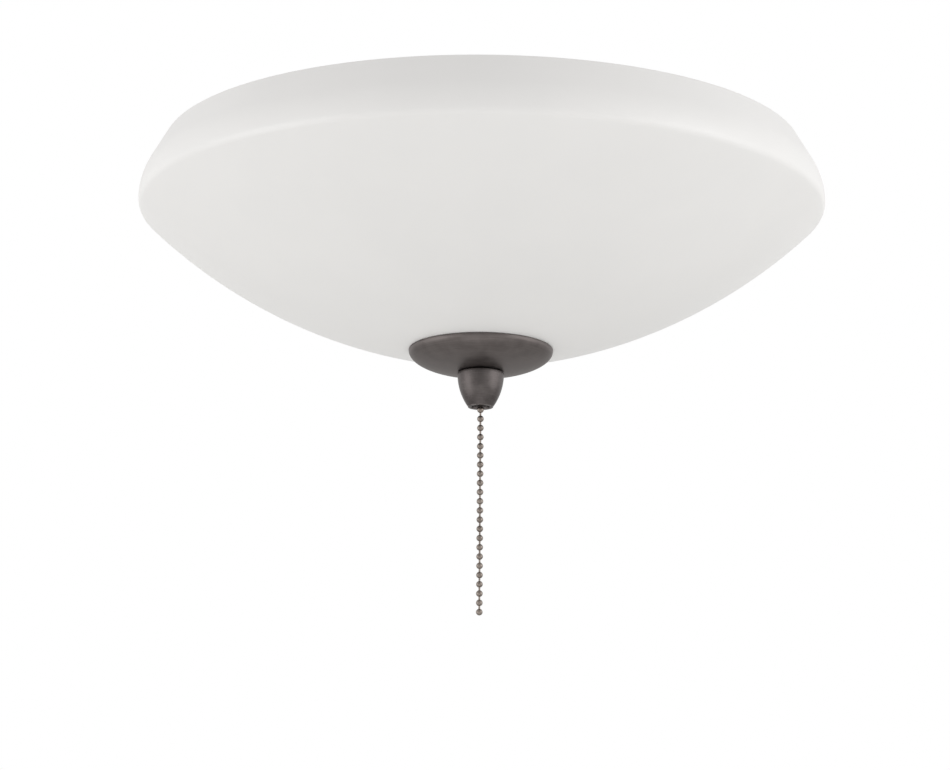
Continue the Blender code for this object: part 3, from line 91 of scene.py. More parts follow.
floor_radius, floor_level = 47.0, -3.9
floor_mesh = bpy.data.meshes.new("pale_floor")
shape = bmesh.new()
bmesh.ops.create_circle(shape, cap_ends=True, segments=96, radius=floor_radius,
                        matrix=Matrix.Translation((0.0, 0.0, floor_level)))
shape.to_mesh(floor_mesh)
shape.free()
floor = bpy.data.objects.new("pale_floor", floor_mesh)
stage_scene.collection.objects.link(floor)
painted_floor = bpy.data.materials.new("painted_floor")
painted_floor.use_nodes = True
tree = painted_floor.node_tree
mottle = put(tree, "TexNoise", {"Vector": put(tree, "TexCoord", {}).outputs["Object"], "Scale": 3.0})
tone = put(tree, "ValToRGB", {"Fac": mottle.outputs["Fac"]})
tone.color_ramp.elements[0].color = (0.84, 0.84, 0.83, 1.0)
tone.color_ramp.elements[1].color = (0.88, 0.88, 0.87, 1.0)
tree.links.new(tone.outputs["Color"], tree.nodes["Principled BSDF"].inputs["Base Color"])
tree.nodes["Principled BSDF"].inputs["Roughness"].default_value = 0.7
floor_mesh.materials.append(painted_floor)

kit_middle = Vector((0.0, 0.0, -0.12))
for name, place, wide, power in (("left_panel", (-2.1, -0.8, -0.5), 1.6, 14.0),
                                 ("right_panel", (2.1, -0.8, 0.0), 1.8, 18.0),
                                 ("low_panel", (0.0, -1.5, -1.8), 2.4, 9.7)):
    light = bpy.data.lights.new(name, "AREA")
    light.size = wide
    light.energy = power
    panel = bpy.data.objects.new(name, light)
    panel.location = place
    panel.rotation_euler = (kit_middle - panel.location).to_track_quat("-Z", "Y").to_euler()
    stage_scene.collection.objects.link(panel)

lens = bpy.data.cameras.new("camera")
lens.lens = 190.7
lens.sensor_width = 36.0
lens.shift_x = -0.0059
lens.shift_y = 0.0084
lens.clip_end = 120.0
camera = bpy.data.objects.new("camera", lens)
camera.location = (0.0, -2.332, -0.714)
aim = (Vector((0.0, 0.0, -0.146)) - camera.location).to_track_quat("-Z", "Y").to_matrix()
camera.rotation_euler = (aim @ Matrix.Rotation(math.radians(0.35), 3, "Z")).to_euler()
stage_scene.collection.objects.link(camera)
stage_scene.camera = camera


# The housing that meets the fan: a steel cup, deep-drawn and given a dark pewter finish. Its top is pierced
# by the wire inlet and three keyhole slots for the fan's screws, and its lower edge is turned in to take
# the pan's screws.

def arc(centre, radius, start, end, steps):
    """Points along part of a circle in the profile's plane, from one angle in degrees to another."""
    turns = [math.radians(start + (end - start) * step / steps) for step in range(steps + 1)]
    return [Vector((centre[0] + radius * math.cos(turn), centre[1] + radius * math.sin(turn)))
            for turn in turns]


def walled(line, wall):
    """A closed outline: the line of a sheet's outside, then the same line a wall's thickness to its right."""
    runs = [-(end - start).orthogonal().normalized() for start, end in zip(line, line[1:])]
    other = []
    for here, before, after in zip(line, runs[:1] + runs, runs + runs[-1:]):
        lean = (before + after).normalized()
        other.append(here + lean * (wall / lean.dot(before)))
    return line + other[::-1]


def lathe(outline, steps=96, closed=True):
    """Spins an outline of (radius, height) points once round the upright axis."""
    shape = bmesh.new()
    corners = [shape.verts.new((point[0], 0.0, point[1])) for point in outline]
    ends = corners[1:] + corners[:1] if closed else corners[1:]
    edges = [shape.edges.new(pair) for pair in zip(corners, ends)]
    bmesh.ops.spin(shape, geom=corners + edges, axis=(0.0, 0.0, 1.0), cent=(0.0, 0.0, 0.0), angle=math.tau,
                   steps=steps, use_merge=True)
    bmesh.ops.remove_doubles(shape, verts=shape.verts, dist=0.0000005)
    bmesh.ops.recalc_face_normals(shape, faces=shape.faces)
    return shape


def at_rest(node):
    """The lowest and highest level of a node."""
    low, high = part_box(node)
    return low.z, high.z


cup_under = at_rest("fitter_cup")[0]
cup_radius, top_bend, foot_bend, turned_in = 0.05, 0.006, 0.0018, 0.04
crown = [Vector((0.0085, 0.0))] + arc((cup_radius - top_bend, -top_bend), top_bend, 90.0, 0.0, 10)
crown += arc((cup_radius - foot_bend, cup_under + foot_bend), foot_bend, 0.0, -90.0, 5)
crown.append(Vector((turned_in, cup_under)))
shape = lathe(walled(crown, 0.0012), 128)


def around(count, radius, first):
    """Places at equal steps round the upright axis, the first one at an angle in degrees."""
    turns = [math.radians(first) + math.tau * number / count for number in range(count)]
    return [(radius * math.cos(turn), radius * math.sin(turn)) for turn in turns]


def drill(places, radius, low, high):
    """Upright drills of one radius between two levels."""
    shape = bmesh.new()
    for x, y in places:
        bmesh.ops.create_cone(shape, cap_ends=True, segments=32, radius1=radius, radius2=radius,
                              depth=high - low, matrix=Matrix.Translation((x, y, (low + high) / 2)))
    return shape


def slab(outline, low, high):
    """A flat plate of an (x, y) outline between two levels."""
    shape = bmesh.new()
    face = shape.faces.new([shape.verts.new((point[0], point[1], low)) for point in outline])
    raised = bmesh.ops.extrude_face_region(shape, geom=[face])["geom"]
    bmesh.ops.translate(shape, vec=(0.0, 0.0, high - low),
                        verts=[part for part in raised if isinstance(part, bmesh.types.BMVert)])
    bmesh.ops.recalc_face_normals(shape, faces=shape.faces)
    return shape


def together(shape, *others):
    """Joins other shapes to one, without merging them."""
    for other in others:
        mesh = bpy.data.meshes.new("joined")
        other.to_mesh(mesh)
        other.free()
        shape.from_mesh(mesh)
        bpy.data.meshes.remove(mesh)
    return shape


screw_places = around(3, 0.044, -30.0)
screw_hole = 0.0018
tool = drill(screw_places, screw_hole, cup_under - 0.001, cup_under + 0.003)
slot, eye = 0.0024, 0.0045
opening = math.degrees(math.asin(slot / eye))
keyhole_line = arc((0.030, 0.0), eye, opening, 360.0 - opening, 28) + arc((0.038, 0.0), slot, -90.0, 90.0, 14)
for number in range(3):
    keyhole = slab(keyhole_line, -0.003, 0.002)
    turn = Matrix.Rotation(math.tau * (number + 0.25) / 3, 3, "Z")
    bmesh.ops.rotate(keyhole, matrix=turn, verts=keyhole.verts)
    together(tool, keyhole)


def carve(shape, tool, how="DIFFERENCE"):
    """Cuts one shape with another."""
    pair = []
    for form in (shape, tool):
        mesh = bpy.data.meshes.new("carving")
        form.to_mesh(mesh)
        form.free()
        pair.append(bpy.data.objects.new("carving", mesh))
        stage_scene.collection.objects.link(pair[-1])
    cut = pair[0].modifiers.new("cut", "BOOLEAN")
    cut.object, cut.operation, cut.solver = pair[1], how, "EXACT"
    carved = bmesh.new()
    carved.from_object(pair[0], bpy.context.evaluated_depsgraph_get())
    for form in pair:
        bpy.data.objects.remove(form)
    bmesh.ops.remove_doubles(carved, verts=carved.verts, dist=0.0000005)
    return carved


def finish(name, pale, deep, rough, metal=0.0, grain=500.0, relief=0.00002, spun=0.0, edge_highlight=None,
           **sockets):
    """A surface: two close colours mottled at two sizes, gloss that follows them, and a shallow relief. A
    spun one has its grain in rings round the upright axis, and one with an edge highlight has a lighter
    colour painted in patches on its edges as a highlight."""
    skin = bpy.data.materials.new(name)
    skin.use_nodes = True
    tree = skin.node_tree
    shader = tree.nodes["Principled BSDF"]
    where = put(tree, "TexCoord", {}).outputs["Object"]
    feeds, settings = {"Vector": where}, {}
    if spun:
        parts = put(tree, "SeparateXYZ", {0: where}).outputs
        flat = put(tree, "CombineXYZ", {0: parts["X"], 1: parts["Y"]}).outputs[0]
        out = put(tree, "VectorMath", {0: flat}, operation="LENGTH").outputs["Value"]
        heading = put(tree, "VectorMath", {0: flat}, operation="NORMALIZE").outputs[0]
        round_it = put(tree, "SeparateXYZ", {0: heading})
        across = put(tree, "Math", {0: round_it.outputs["X"], 1: spun}, operation="MULTIPLY").outputs[0]
        along = put(tree, "Math", {0: round_it.outputs["Y"], 1: spun}, operation="MULTIPLY").outputs[0]
        feeds = {"Vector": put(tree, "CombineXYZ", {0: out, 1: parts["Z"], 2: across}).outputs[0], "W": along}
        settings = {"noise_dimensions": "4D"}
    fine = put(tree, "TexNoise", {**feeds, "Scale": grain, "Detail": 5.0}, **settings).outputs["Fac"]
    broad = put(tree, "TexNoise", {"Vector": where, "Scale": grain * 0.07, "Detail": 3.0}).outputs["Fac"]
    half_fine = put(tree, "Math", {0: fine, 1: 0.5}, operation="MULTIPLY").outputs[0]
    mixed = put(tree, "Math", {0: broad, 1: 0.5, 2: half_fine}, operation="MULTIPLY_ADD").outputs[0]
    tone = put(tree, "ValToRGB", {"Fac": mixed})
    for stop, place, colour in zip(tone.color_ramp.elements, (0.38, 0.62), (deep, pale)):
        stop.position = place
        stop.color = (*colour, 1.0)
    colour = tone.outputs["Color"]
    # Painted highlight: a lighter colour laid in patches on the edges, where light would glint.
    if edge_highlight:
        rounded = put(tree, "Bevel", {"Radius": 0.0006}, samples=6).outputs[0]
        straight = put(tree, "NewGeometry", {}).outputs["Normal"]
        bend = put(tree, "VectorMath", {0: rounded, 1: straight}, operation="DOT_PRODUCT").outputs["Value"]
        edge = put(tree, "MapRange", {"Value": bend, "From Min": 0.99, "From Max": 0.86,
                                      "To Min": 0.0, "To Max": 0.75}).outputs[0]
        patches = put(tree, "MapRange", {"Value": broad, "From Min": 0.35, "From Max": 0.6}).outputs[0]
        painted_highlight = put(tree, "Math", {0: edge, 1: patches}, operation="MULTIPLY").outputs[0]
        colour = put(tree, "Mix", {0: painted_highlight, 6: colour, 7: (*edge_highlight, 1.0)}, data_type="RGBA").outputs[2]
    tree.links.new(colour, shader.inputs["Base Color"])
    gloss = put(tree, "MapRange", {"Value": mixed, "From Min": 0.35, "From Max": 0.65,
                                   "To Min": rough[0], "To Max": rough[1]}).outputs[0]
    tree.links.new(gloss, shader.inputs["Roughness"])
    bump = put(tree, "Bump", {"Height": fine, "Strength": 1.0, "Distance": relief}).outputs[0]
    tree.links.new(bump, shader.inputs["Normal"])
    shader.inputs["Metallic"].default_value = metal
    for socket, value in sockets.items():
        shader.inputs[socket.replace("_", " ")].default_value = value
    return skin


def hang(shape, name, body, skin, slot, *stands_for, sharp=35.0):
    mesh = bpy.data.meshes.new(name)
    shape.to_mesh(mesh)
    shape.free()
    mesh.shade_smooth()
    mesh.set_sharp_from_angle(angle=math.radians(sharp))
    mesh.materials.append(skin)
    piece = bpy.data.objects.new(name, mesh)
    stage_scene.collection.objects.link(piece)
    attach(piece, body)
    if stands_for:
        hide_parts(*stands_for)
    return piece


# The housing's and the cap's pewter; its lighter edge colour is a painted highlight.
pewter = finish("spun_pewter", (0.156, 0.138, 0.134), (0.114, 0.100, 0.097), (0.4, 0.52), metal=1.0,
                grain=2600.0, relief=0.000008, spun=0.0006, edge_highlight=(0.24, 0.208, 0.197), Anisotropic=0.4)
hang(carve(shape, tool), "drawn_housing", "fixture", pewter, "dark_pewter", "fitter_cup", sharp=30.0)


# The bushing in the wire inlet: a moulded nylon ring, snapped into the hole so that its groove holds the
# steel's edge. It keeps the fan's leads from rubbing on it.

def eased(corners, steps=4):
    """An outline with each corner that has a third number rounded to that radius."""
    path = []
    for index, corner in enumerate(corners):
        here = Vector(corner[:2])
        if len(corner) < 3:
            path.append(here)
            continue
        before = (Vector(corners[index - 1][:2]) - here).normalized()
        after = (Vector(corners[(index + 1) % len(corners)][:2]) - here).normalized()
        half = before.angle(after) / 2
        centre = here + (before + after).normalized() * (corner[2] / math.sin(half))
        first, last = (here + side * (corner[2] / math.tan(half)) - centre for side in (before, after))
        path += [centre + first.lerp(last, step / steps).normalized() * corner[2]
                 for step in range(steps + 1)]
    return path


nylon = finish("nylon_moulded", (0.80, 0.79, 0.74), (0.74, 0.73, 0.67), (0.38, 0.5), grain=900.0,
               relief=0.00001, Subsurface_Weight=0.15, Subsurface_Radius=(0.002, 0.002, 0.0015),
               Subsurface_Scale=1.0)
sleeve = [(0.0082, 0.0, 0.0003), (0.0082, -0.0015), (0.0105, -0.0015, 0.0002), (0.0105, -0.0027, 0.0003),
          (0.0082, -0.0027), (0.0082, -0.004, 0.0003), (0.0065, -0.004, 0.0006), (0.0065, 0.0, 0.0006)]
hang(lathe(eased(sleeve), 64), "inlet_sleeve", "fixture", nylon, "nylon", "inlet_bushing")


# The pan that throws the light down: spun sheet steel, powder-coated white, with a flat floor under the
# housing, a shallow cone, a turned-down lip, and eight round vents.

white_coat = finish("white_powder_coat", (0.83, 0.83, 0.815), (0.805, 0.805, 0.79), (0.34, 0.46),
                    grain=1300.0, relief=0.00003, Coat_Weight=0.15, Coat_Roughness=0.25)
clear_bore = 0.00515
pan_floor, pan_rim = -0.0483, -0.0275
pan_line = eased([(clear_bore, pan_floor), (0.054, pan_floor, 0.004), (0.1414, pan_rim - 0.0001)], 6)
pan_line += arc((0.1421, pan_rim - 0.003), 0.003, 98.0, 0.0, 10) + [Vector((0.1451, pan_rim - 0.009))]
vent_circle, vent, bridge_feet, lead_out = 0.1101, 0.004, 0.01975, 0.0235
under_floor, over_floor = -0.055, -0.040
tool = drill(around(8, vent_circle, 11.0), vent, pan_floor - 0.01, pan_rim + 0.01)
together(tool,
         drill(screw_places + [(0.0, bridge_feet), (0.0, -bridge_feet)], screw_hole, under_floor, over_floor),
         drill([(lead_out, 0.0), (-lead_out, 0.0)], 0.0063, under_floor, over_floor))
hang(carve(lathe(walled(pan_line, 0.001), 160), tool), "spun_pan", "fixture", white_coat, "white_paint",
     "reflector_pan", sharp=30.0)


# The three screws that hold the pan to the housing's turned-in edge, driven from below: zinc-plated steel
# with a pan head, a cross recess and a rolled thread.

zinc = finish("zinc_plate", (0.62, 0.62, 0.61), (0.50, 0.50, 0.50), (0.26, 0.42), metal=1.0, grain=700.0,
              relief=0.000006)


def threaded(root, crest, pitch, low, high, steps=20):
    """An open screw thread round the upright axis: one turn of its ridge, wound up from below the start and
    doubled until it passes the top, then trimmed level at both ends."""
    shape = bmesh.new()
    ridge = ((root, 0.0), (root, 0.12), (crest, 0.42), (crest, 0.58), (root, 0.88), (root, 1.0))
    corners = [shape.verts.new((radius, 0.0, low + pitch * (share - 1.5))) for radius, share in ridge]
    edges = [shape.edges.new(pair) for pair in zip(corners, corners[1:])]
    bmesh.ops.spin(shape, geom=corners + edges, axis=(0.0, 0.0, 1.0), cent=(0.0, 0.0, 0.0),
                   dvec=(0.0, 0.0, pitch / steps), angle=math.tau, steps=steps)
    turns = 1
    while low + pitch * (turns - 2.5) < high:
        copied = bmesh.ops.duplicate(shape, geom=shape.verts[:] + shape.edges[:] + shape.faces[:])["geom"]
        bmesh.ops.translate(shape, vec=(0.0, 0.0, pitch * turns),
                            verts=[part for part in copied if isinstance(part, bmesh.types.BMVert)])
        turns *= 2
    bmesh.ops.remove_doubles(shape, verts=shape.verts, dist=0.0000005)
    for level, way in ((low, -1.0), (high, 1.0)):
        bmesh.ops.bisect_plane(shape, geom=shape.verts[:] + shape.edges[:] + shape.faces[:], dist=0.0000001,
                               plane_co=(0.0, 0.0, level), plane_no=(0.0, 0.0, way), clear_outer=True)
    bmesh.ops.recalc_face_normals(shape, faces=shape.faces)
    return shape


head_height = 0.002


def screw(length):
    """A pan-head screw, its head standing on the level 0, with a cross recess and a rolled thread."""
    head_radius, dome_foot = 0.0031, 0.0007
    dome = head_height - dome_foot
    line = [Vector((0.0, head_height))]
    for turn in (0.25, 0.5, 0.75, 1.0, 1.25, 1.45):
        line.append(Vector((head_radius * math.sin(turn), dome_foot + dome * math.cos(turn))))
    line += [Vector((head_radius, 0.0005)), Vector((head_radius - 0.0002, 0.0)), Vector((0.0, 0.0))]
    wide, narrow = 0.0016, 0.0003
    arm = [(wide, -narrow), (wide, narrow), (narrow, narrow)]
    cross = [(x * turn[0] - y * turn[1], x * turn[1] + y * turn[0])
             for turn in ((1, 0), (0, 1), (-1, 0), (0, -1)) for x, y in arm]
    head = carve(lathe(line, 32, closed=False), slab(cross, head_height / 2, head_height + 0.0006))
    shank = threaded(0.0012, 0.0015, 0.0007, -length, 0.0001, 12)
    bmesh.ops.holes_fill(shank, edges=[edge for edge in shank.edges if edge.is_boundary])
    bmesh.ops.recalc_face_normals(shank, faces=shank.faces)
    return together(head, shank)


def stand(shape, box, level):
    """Moves a shape made round the upright axis over to a box's middle, and up by a level."""
    middle = (box[0] + box[1]) / 2
    bmesh.ops.translate(shape, vec=(middle.x, middle.y, level), verts=shape.verts)
    return shape


for number in (1, 2, 3):
    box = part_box(f"pan_screw_{number}")
    shape = screw(0.007)
    bmesh.ops.rotate(shape, matrix=Matrix.Rotation(math.pi, 3, "X"), verts=shape.verts)
    hang(stand(shape, box, box[0].z + head_height), f"pan_hold_screw_{number}", "fixture", zinc, "zinc_steel",
         f"pan_screw_{number}")


# The rod and what holds it: a hollow steel rod with a rolled thread from end to end, clamped in the pan by
# two chamfered hexagon nuts and a toothed washer.

def close_ends(shape, low, high, bore, steps=32):
    """Closes both ends of an open tube round a plain bore."""
    loops = []
    for level in (low, high):
        rim = [edge for edge in shape.edges if edge.is_boundary and abs(edge.verts[0].co.z - level) < 0.00001]
        made = bmesh.ops.create_circle(shape, segments=steps, radius=bore,
                                       matrix=Matrix.Translation((0.0, 0.0, level)))
        circle = list({edge for corner in made["verts"] for edge in corner.link_edges})
        bmesh.ops.triangle_fill(shape, edges=rim + circle, use_beauty=True)
        loops += circle
    bmesh.ops.bridge_loops(shape, edges=loops)
    bmesh.ops.recalc_face_normals(shape, faces=shape.faces)
    return shape


low, high = at_rest("centre_rod")
rod_root, rod_crest, rod_pitch, rod_bore = 0.00435, 0.00485, 0.00094, 0.0032
shape = close_ends(threaded(rod_root, rod_crest, rod_pitch, low, high, 24), low, high, rod_bore)
hang(shape, "threaded_rod", "fixture", zinc, "zinc_steel", "centre_rod", sharp=50.0)


def nut(across, bore, low, high):
    """A hexagon nut with chamfered corners and a countersunk bore."""
    corner = across / math.sqrt(3.0)
    blank = slab(around(6, corner, 90.0), low, high)
    face = across / 2 * 0.96
    rise = (corner - face) * 0.58
    past = corner + 0.0001
    turned_blank = lathe([(0.0, low), (face, low), (past, low + rise), (past, high - rise), (face, high),
                          (0.0, high)], 64, closed=False)
    sunk, below, above = bore + 0.0015, low - 0.001, high + 0.001
    drill_out = lathe([(0.0, below), (sunk, below), (bore, low + 0.0005), (bore, high - 0.0005),
                       (sunk, above), (0.0, above)], 48, closed=False)
    return carve(carve(blank, turned_blank, "INTERSECT"), drill_out)


def rod_nut(node):
    """Hangs one of the nuts that run on the rod."""
    low, high = at_rest(node)
    hang(nut(0.0175, 0.00495, low, high), f"chamfered_{node}", "fixture", zinc, "zinc_steel", node)


rod_nut("rod_nut_upper")
rod_nut("rod_nut_lower")

low, high = at_rest("rod_lock_washer")
teeth, tooth_count, tooth_root = [], 16, 0.0072
for number in range(tooth_count):
    for share, radius in ((0.0, tooth_root), (0.2, 0.0089), (0.55, 0.009), (0.75, tooth_root)):
        turn = math.tau * (number + share) / tooth_count
        teeth.append((radius * math.cos(turn), radius * math.sin(turn)))
hang(carve(slab(teeth, low, high), drill([(0.0, 0.0)], clear_bore, low - 0.001, high + 0.001)),
     "toothed_washer", "fixture", zinc, "zinc_steel", "rod_lock_washer")


# The pull switch over the rod's head: a steel bridge on two screwed feet, a black moulded case and cover, a
# threaded brass neck and its nut, and inside them the slide, its spring, the ratchet and the brass contacts.

def softened(node, ease, steps=2):
    """A solid's own shape with its sharp edges eased."""
    shape = bmesh.new()
    shape.from_mesh(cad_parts[node].data)
    bmesh.ops.remove_doubles(shape, verts=shape.verts, dist=0.000001)
    bmesh.ops.dissolve_limit(shape, angle_limit=math.radians(1.0), verts=shape.verts, edges=shape.edges)
    sharp = [edge for edge in shape.edges
             if edge.is_manifold and edge.calc_face_angle(0.0) > math.radians(40.0)]
    bmesh.ops.bevel(shape, geom=sharp, offset=ease, segments=steps, profile=0.5, affect="EDGES", material=-1,
                    clamp_overlap=True)
    return shape


moulding = finish("black_moulding_matt", (0.045, 0.043, 0.041), (0.028, 0.027, 0.026), (0.32, 0.5),
                  grain=700.0, relief=0.00002, Coat_Weight=0.15, Coat_Roughness=0.3)
brass = finish("rolled_brass", (0.78, 0.58, 0.27), (0.62, 0.44, 0.19), (0.22, 0.4), metal=1.0, grain=600.0,
               relief=0.000006)
hang(softened("switch_bracket", 0.0003), "bent_bridge", "fixture", zinc, "zinc_steel", "switch_bracket")
for number in (1, 2):
    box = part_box(f"bracket_screw_{number}")
    hang(stand(screw(0.007), box, box[1].z - head_height), f"bridge_screw_{number}", "fixture", zinc,
         "zinc_steel", f"bracket_screw_{number}")
hang(softened("switch_body", 0.0003), "moulded_case", "fixture", moulding, "black_moulding", "switch_body")
hang(softened("switch_cover", 0.0002), "moulded_cover", "fixture", moulding, "black_moulding", "switch_cover")

low, high = at_rest("switch_neck")
collar_foot, neck_bore = high - 0.0008, 0.0025
shape = close_ends(threaded(0.0036, 0.0039, 0.0008, low, collar_foot), low, collar_foot, neck_bore)
collar = eased([(0.0047, collar_foot, 0.0002), (0.0047, high, 0.0002), (neck_bore, high, 0.0002),
                (neck_bore, collar_foot)])
hang(together(shape, lathe(collar, 48)), "threaded_neck", "fixture", brass, "brass", "switch_neck")
low, high = at_rest("neck_nut")
hang(nut(0.0125, 0.0040, low, high), "chamfered_neck_nut", "fixture", brass, "brass", "neck_nut")
for node, body, skin, slot_name, ease in (("contact_live", "fixture", brass, "brass", 0.00008),
                                          ("contact_load", "fixture", brass, "brass", 0.00008),
                                          ("rotor_contact", "rotor", brass, "brass", 0.00015),
                                          ("ratchet_rotor", "rotor", nylon, "nylon", 0.00012),
                                          ("pull_slider", "chain", nylon, "nylon", 0.0002)):
    hang(softened(node, ease), f"eased_{node}", body, skin, slot_name, node)

low, high = at_rest("return_spring")
wire_radius, coil_radius, wire_room, end_rise, coil_steps = 0.00022, 0.0029, 0.00045, 0.000495, 32
open_rise = (high - low - wire_room - 2 * end_rise) / 3
shape = bmesh.new()
upright = Matrix.Translation((coil_radius, 0.0, low + wire_room / 2)) @ Matrix.Rotation(math.pi / 2, 4, "X")
wire = bmesh.ops.create_circle(shape, segments=10, radius=wire_radius, matrix=upright)
last = wire["verts"] + list({edge for corner in wire["verts"] for edge in corner.link_edges})
for turns, rise in ((1, end_rise), (3, open_rise), (1, end_rise)):
    last = bmesh.ops.spin(shape, geom=last, axis=(0.0, 0.0, 1.0), cent=(0.0, 0.0, 0.0),
                          dvec=(0.0, 0.0, rise / coil_steps), angle=math.tau * turns,
                          steps=coil_steps * turns)["geom_last"]
bmesh.ops.remove_doubles(shape, verts=shape.verts, dist=0.0000001)
bmesh.ops.holes_fill(shape, edges=[edge for edge in shape.edges if edge.is_boundary])
bmesh.ops.recalc_face_normals(shape, faces=shape.faces)
spring = hang(shape, "wound_spring", "chain", zinc, "zinc_steel", "return_spring")
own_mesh(spring)


# The lamp bracket, bent from steel strip, and on each leg a porcelain holder with a threaded brass shell, a
# sprung contact tongue, and the screw that fastens it from inside the bracket.

hang(softened("lamp_bracket", 0.0003), "bent_lamp_bracket", "fixture", zinc, "zinc_steel", "lamp_bracket")
porcelain = finish("glazed_porcelain", (0.84, 0.82, 0.77), (0.80, 0.775, 0.72), (0.14, 0.24), grain=260.0,
                   relief=0.00004, Coat_Weight=0.5, Coat_Roughness=0.08)
lamp_level = -0.0648
screw_seat, holder_foot, shell_foot = 0.01395, 0.01605, 0.02795


def turn_out(shape, side, out):
    """Turns a shape made round the upright axis to stand out along +X or -X, from a distance."""
    move = Matrix.Translation((side * out, 0.0, lamp_level)) @ Matrix.Rotation(side * math.pi / 2, 4, "Y")
    bmesh.ops.transform(shape, matrix=move, verts=shape.verts)
    return shape


for which, side in (("a", 1), ("b", -1)):
    body = [(0.011, 0.0295, 0.0008), (0.011, 0.004, 0.0012), (0.0085, 0.0015, 0.0006), (0.0085, 0.0, 0.0004),
            (0.0018, 0.0), (0.0018, 0.006), (0.0, 0.006)]
    cavity = [(0.0, 0.0109), (0.0075, 0.0109), (0.0075, 0.0295, 0.0006)]
    shape = turn_out(lathe(eased(cavity + body), 72, closed=False), side, holder_foot)
    pocket = bmesh.new()
    bmesh.ops.create_cube(pocket, size=1.0,
                          matrix=Matrix.Translation((side * lead_out, 0.0, lamp_level + 0.0095))
                          @ Matrix.Diagonal((0.0072, 0.0092, 0.006, 1.0)))
    hang(carve(shape, pocket), f"porcelain_holder_{which}", "fixture", porcelain, "porcelain",
         f"lamp_holder_{which}")
    shell = threaded(0.0062, 0.00665, 0.00254, 0.001, 0.0162, 28)
    bmesh.ops.solidify(shell, geom=shell.faces[:], thickness=0.00022)
    flange = lathe(walled([Vector((0.0067, 0.0012)), Vector((0.0067, 0.0)), Vector((0.0043, 0.0))],
                          0.0004), 48)
    lip = lathe(eased([(0.0062, 0.0160), (0.0071, 0.0161), (0.0071, 0.0165, 0.0001),
                       (0.0062, 0.0165, 0.0001)]), 48)
    hang(turn_out(together(shell, flange, lip), side, shell_foot), f"threaded_shell_{which}", "fixture",
         brass, "brass", f"screw_shell_{which}")
    hang(softened(f"centre_contact_{which}", 0.00008), f"sprung_tongue_{which}", "fixture", brass, "brass",
         f"centre_contact_{which}")
    shape = screw(0.006)
    inward = Matrix.Rotation(-side * math.pi / 2, 4, "Y")
    bmesh.ops.transform(shape, matrix=Matrix.Translation((side * screw_seat, 0.0, lamp_level)) @ inward,
                        verts=shape.verts)
    hang(shape, f"holder_hold_screw_{which}", "fixture", zinc, "zinc_steel", f"holder_screw_{which}")


# The two lamps: frosted glass drawn to a point and cemented in a threaded brass base, with a black glass foot
# and a contact button under it. They screw into the holders.

frosted = finish("frosted_glass", (0.88, 0.88, 0.865), (0.84, 0.84, 0.825), (0.42, 0.52), grain=1600.0,
                 relief=0.00001, Subsurface_Weight=0.3, Subsurface_Radius=(0.004, 0.004, 0.004),
                 Subsurface_Scale=1.0)
base_foot, glass_start, glass_neck, glass_swell = 0.02945, 0.04905, 0.0056, 0.0175
for which, side in (("a", 1), ("b", -1)):
    base = threaded(0.0055, 0.00593, 0.00254, 0.0032, 0.0172, 28)
    flare = lathe([(0.0055, 0.0171), (0.0057, 0.0172), (0.0068, 0.0192), (0.0068, 0.0196), (0.0059, 0.0196),
                   (0.0055, 0.0188)], 48)
    bmesh.ops.holes_fill(base, edges=[edge for edge in base.edges if edge.is_boundary])
    bmesh.ops.recalc_face_normals(base, faces=base.faces)
    button = lathe(eased([(0.0, 0.0008), (0.0024, 0.0008), (0.0024, 0.0004, 0.0003), (0.0, 0.0002)]), 32,
                   closed=False)
    hang(turn_out(together(base, flare, button), side, base_foot), f"threaded_base_{which}", f"lamp_{which}",
         brass, "brass", f"lamp_base_{which}")
    foot = lathe(eased([(0.0, 0.0005), (0.0024, 0.0005), (0.0031, 0.0013, 0.0004), (0.0056, 0.0032, 0.0003),
                        (0.0054, 0.0036), (0.0, 0.0036)]), 40, closed=False)
    hang(turn_out(foot, side, base_foot), f"glass_foot_{which}", f"lamp_{which}", moulding, "black_moulding")
    length = abs(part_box(f"lamp_glass_{which}")[side > 0].x) - glass_start
    envelope = [Vector((0.0, 0.0)), Vector((0.0055, -0.0005))]
    for step in range(49):
        along = step / 48
        swell = math.sin(math.pi * along ** 0.62) ** 1.25 if step < 48 else 0.0
        radius = glass_neck * (1 - along) ** 0.5 * (1 - swell) + glass_swell * swell
        envelope.append(Vector((radius, length * along)))
    shape = turn_out(lathe(envelope, 64, closed=False), side, glass_start)
    hang(shape, f"drawn_lamp_{which}", f"lamp_{which}", frosted, "lamp_glass", f"lamp_glass_{which}")


# The wiring: rubber grommets in the pan, plastic-covered leads from the holders and the switch, and three
# moulded twist-on connectors with gripping ribs, standing mouth up in the housing.

rubber = finish("black_rubber_moulded", (0.035, 0.035, 0.036), (0.022, 0.022, 0.023), (0.62, 0.82),
                grain=1500.0, relief=0.00004)
ring = [(0.0072, -0.0468, 0.0004), (0.0072, -0.048, 0.0003), (0.006, -0.048, 0.0001),
        (0.006, -0.0496, 0.0001), (0.0072, -0.0496, 0.0003), (0.0072, -0.0508, 0.0004),
        (0.0038, -0.0508, 0.0005), (0.0038, -0.0468, 0.0005)]
for which, side in (("a", 1), ("b", -1)):
    shape = lathe(eased(ring, 3), 48)
    bmesh.ops.translate(shape, vec=(side * lead_out, 0.0, 0.0), verts=shape.verts)
    hang(shape, f"rubber_grommet_{which}", "fixture", rubber, "black_rubber", f"pan_grommet_{which}")


def in_groove(face):
    """Whether a connector's face lies between two of its twelve ribs, on the outside."""
    middle = face.calc_center_median()
    share = int((math.atan2(middle.y, middle.x) + math.pi) / math.tau * 48)
    return (0.0015 < middle.z < 0.0115 and face.normal.xy.dot(middle.xy) > 0.0 and share % 4 < 2
            and middle.xy.length > 0.003)


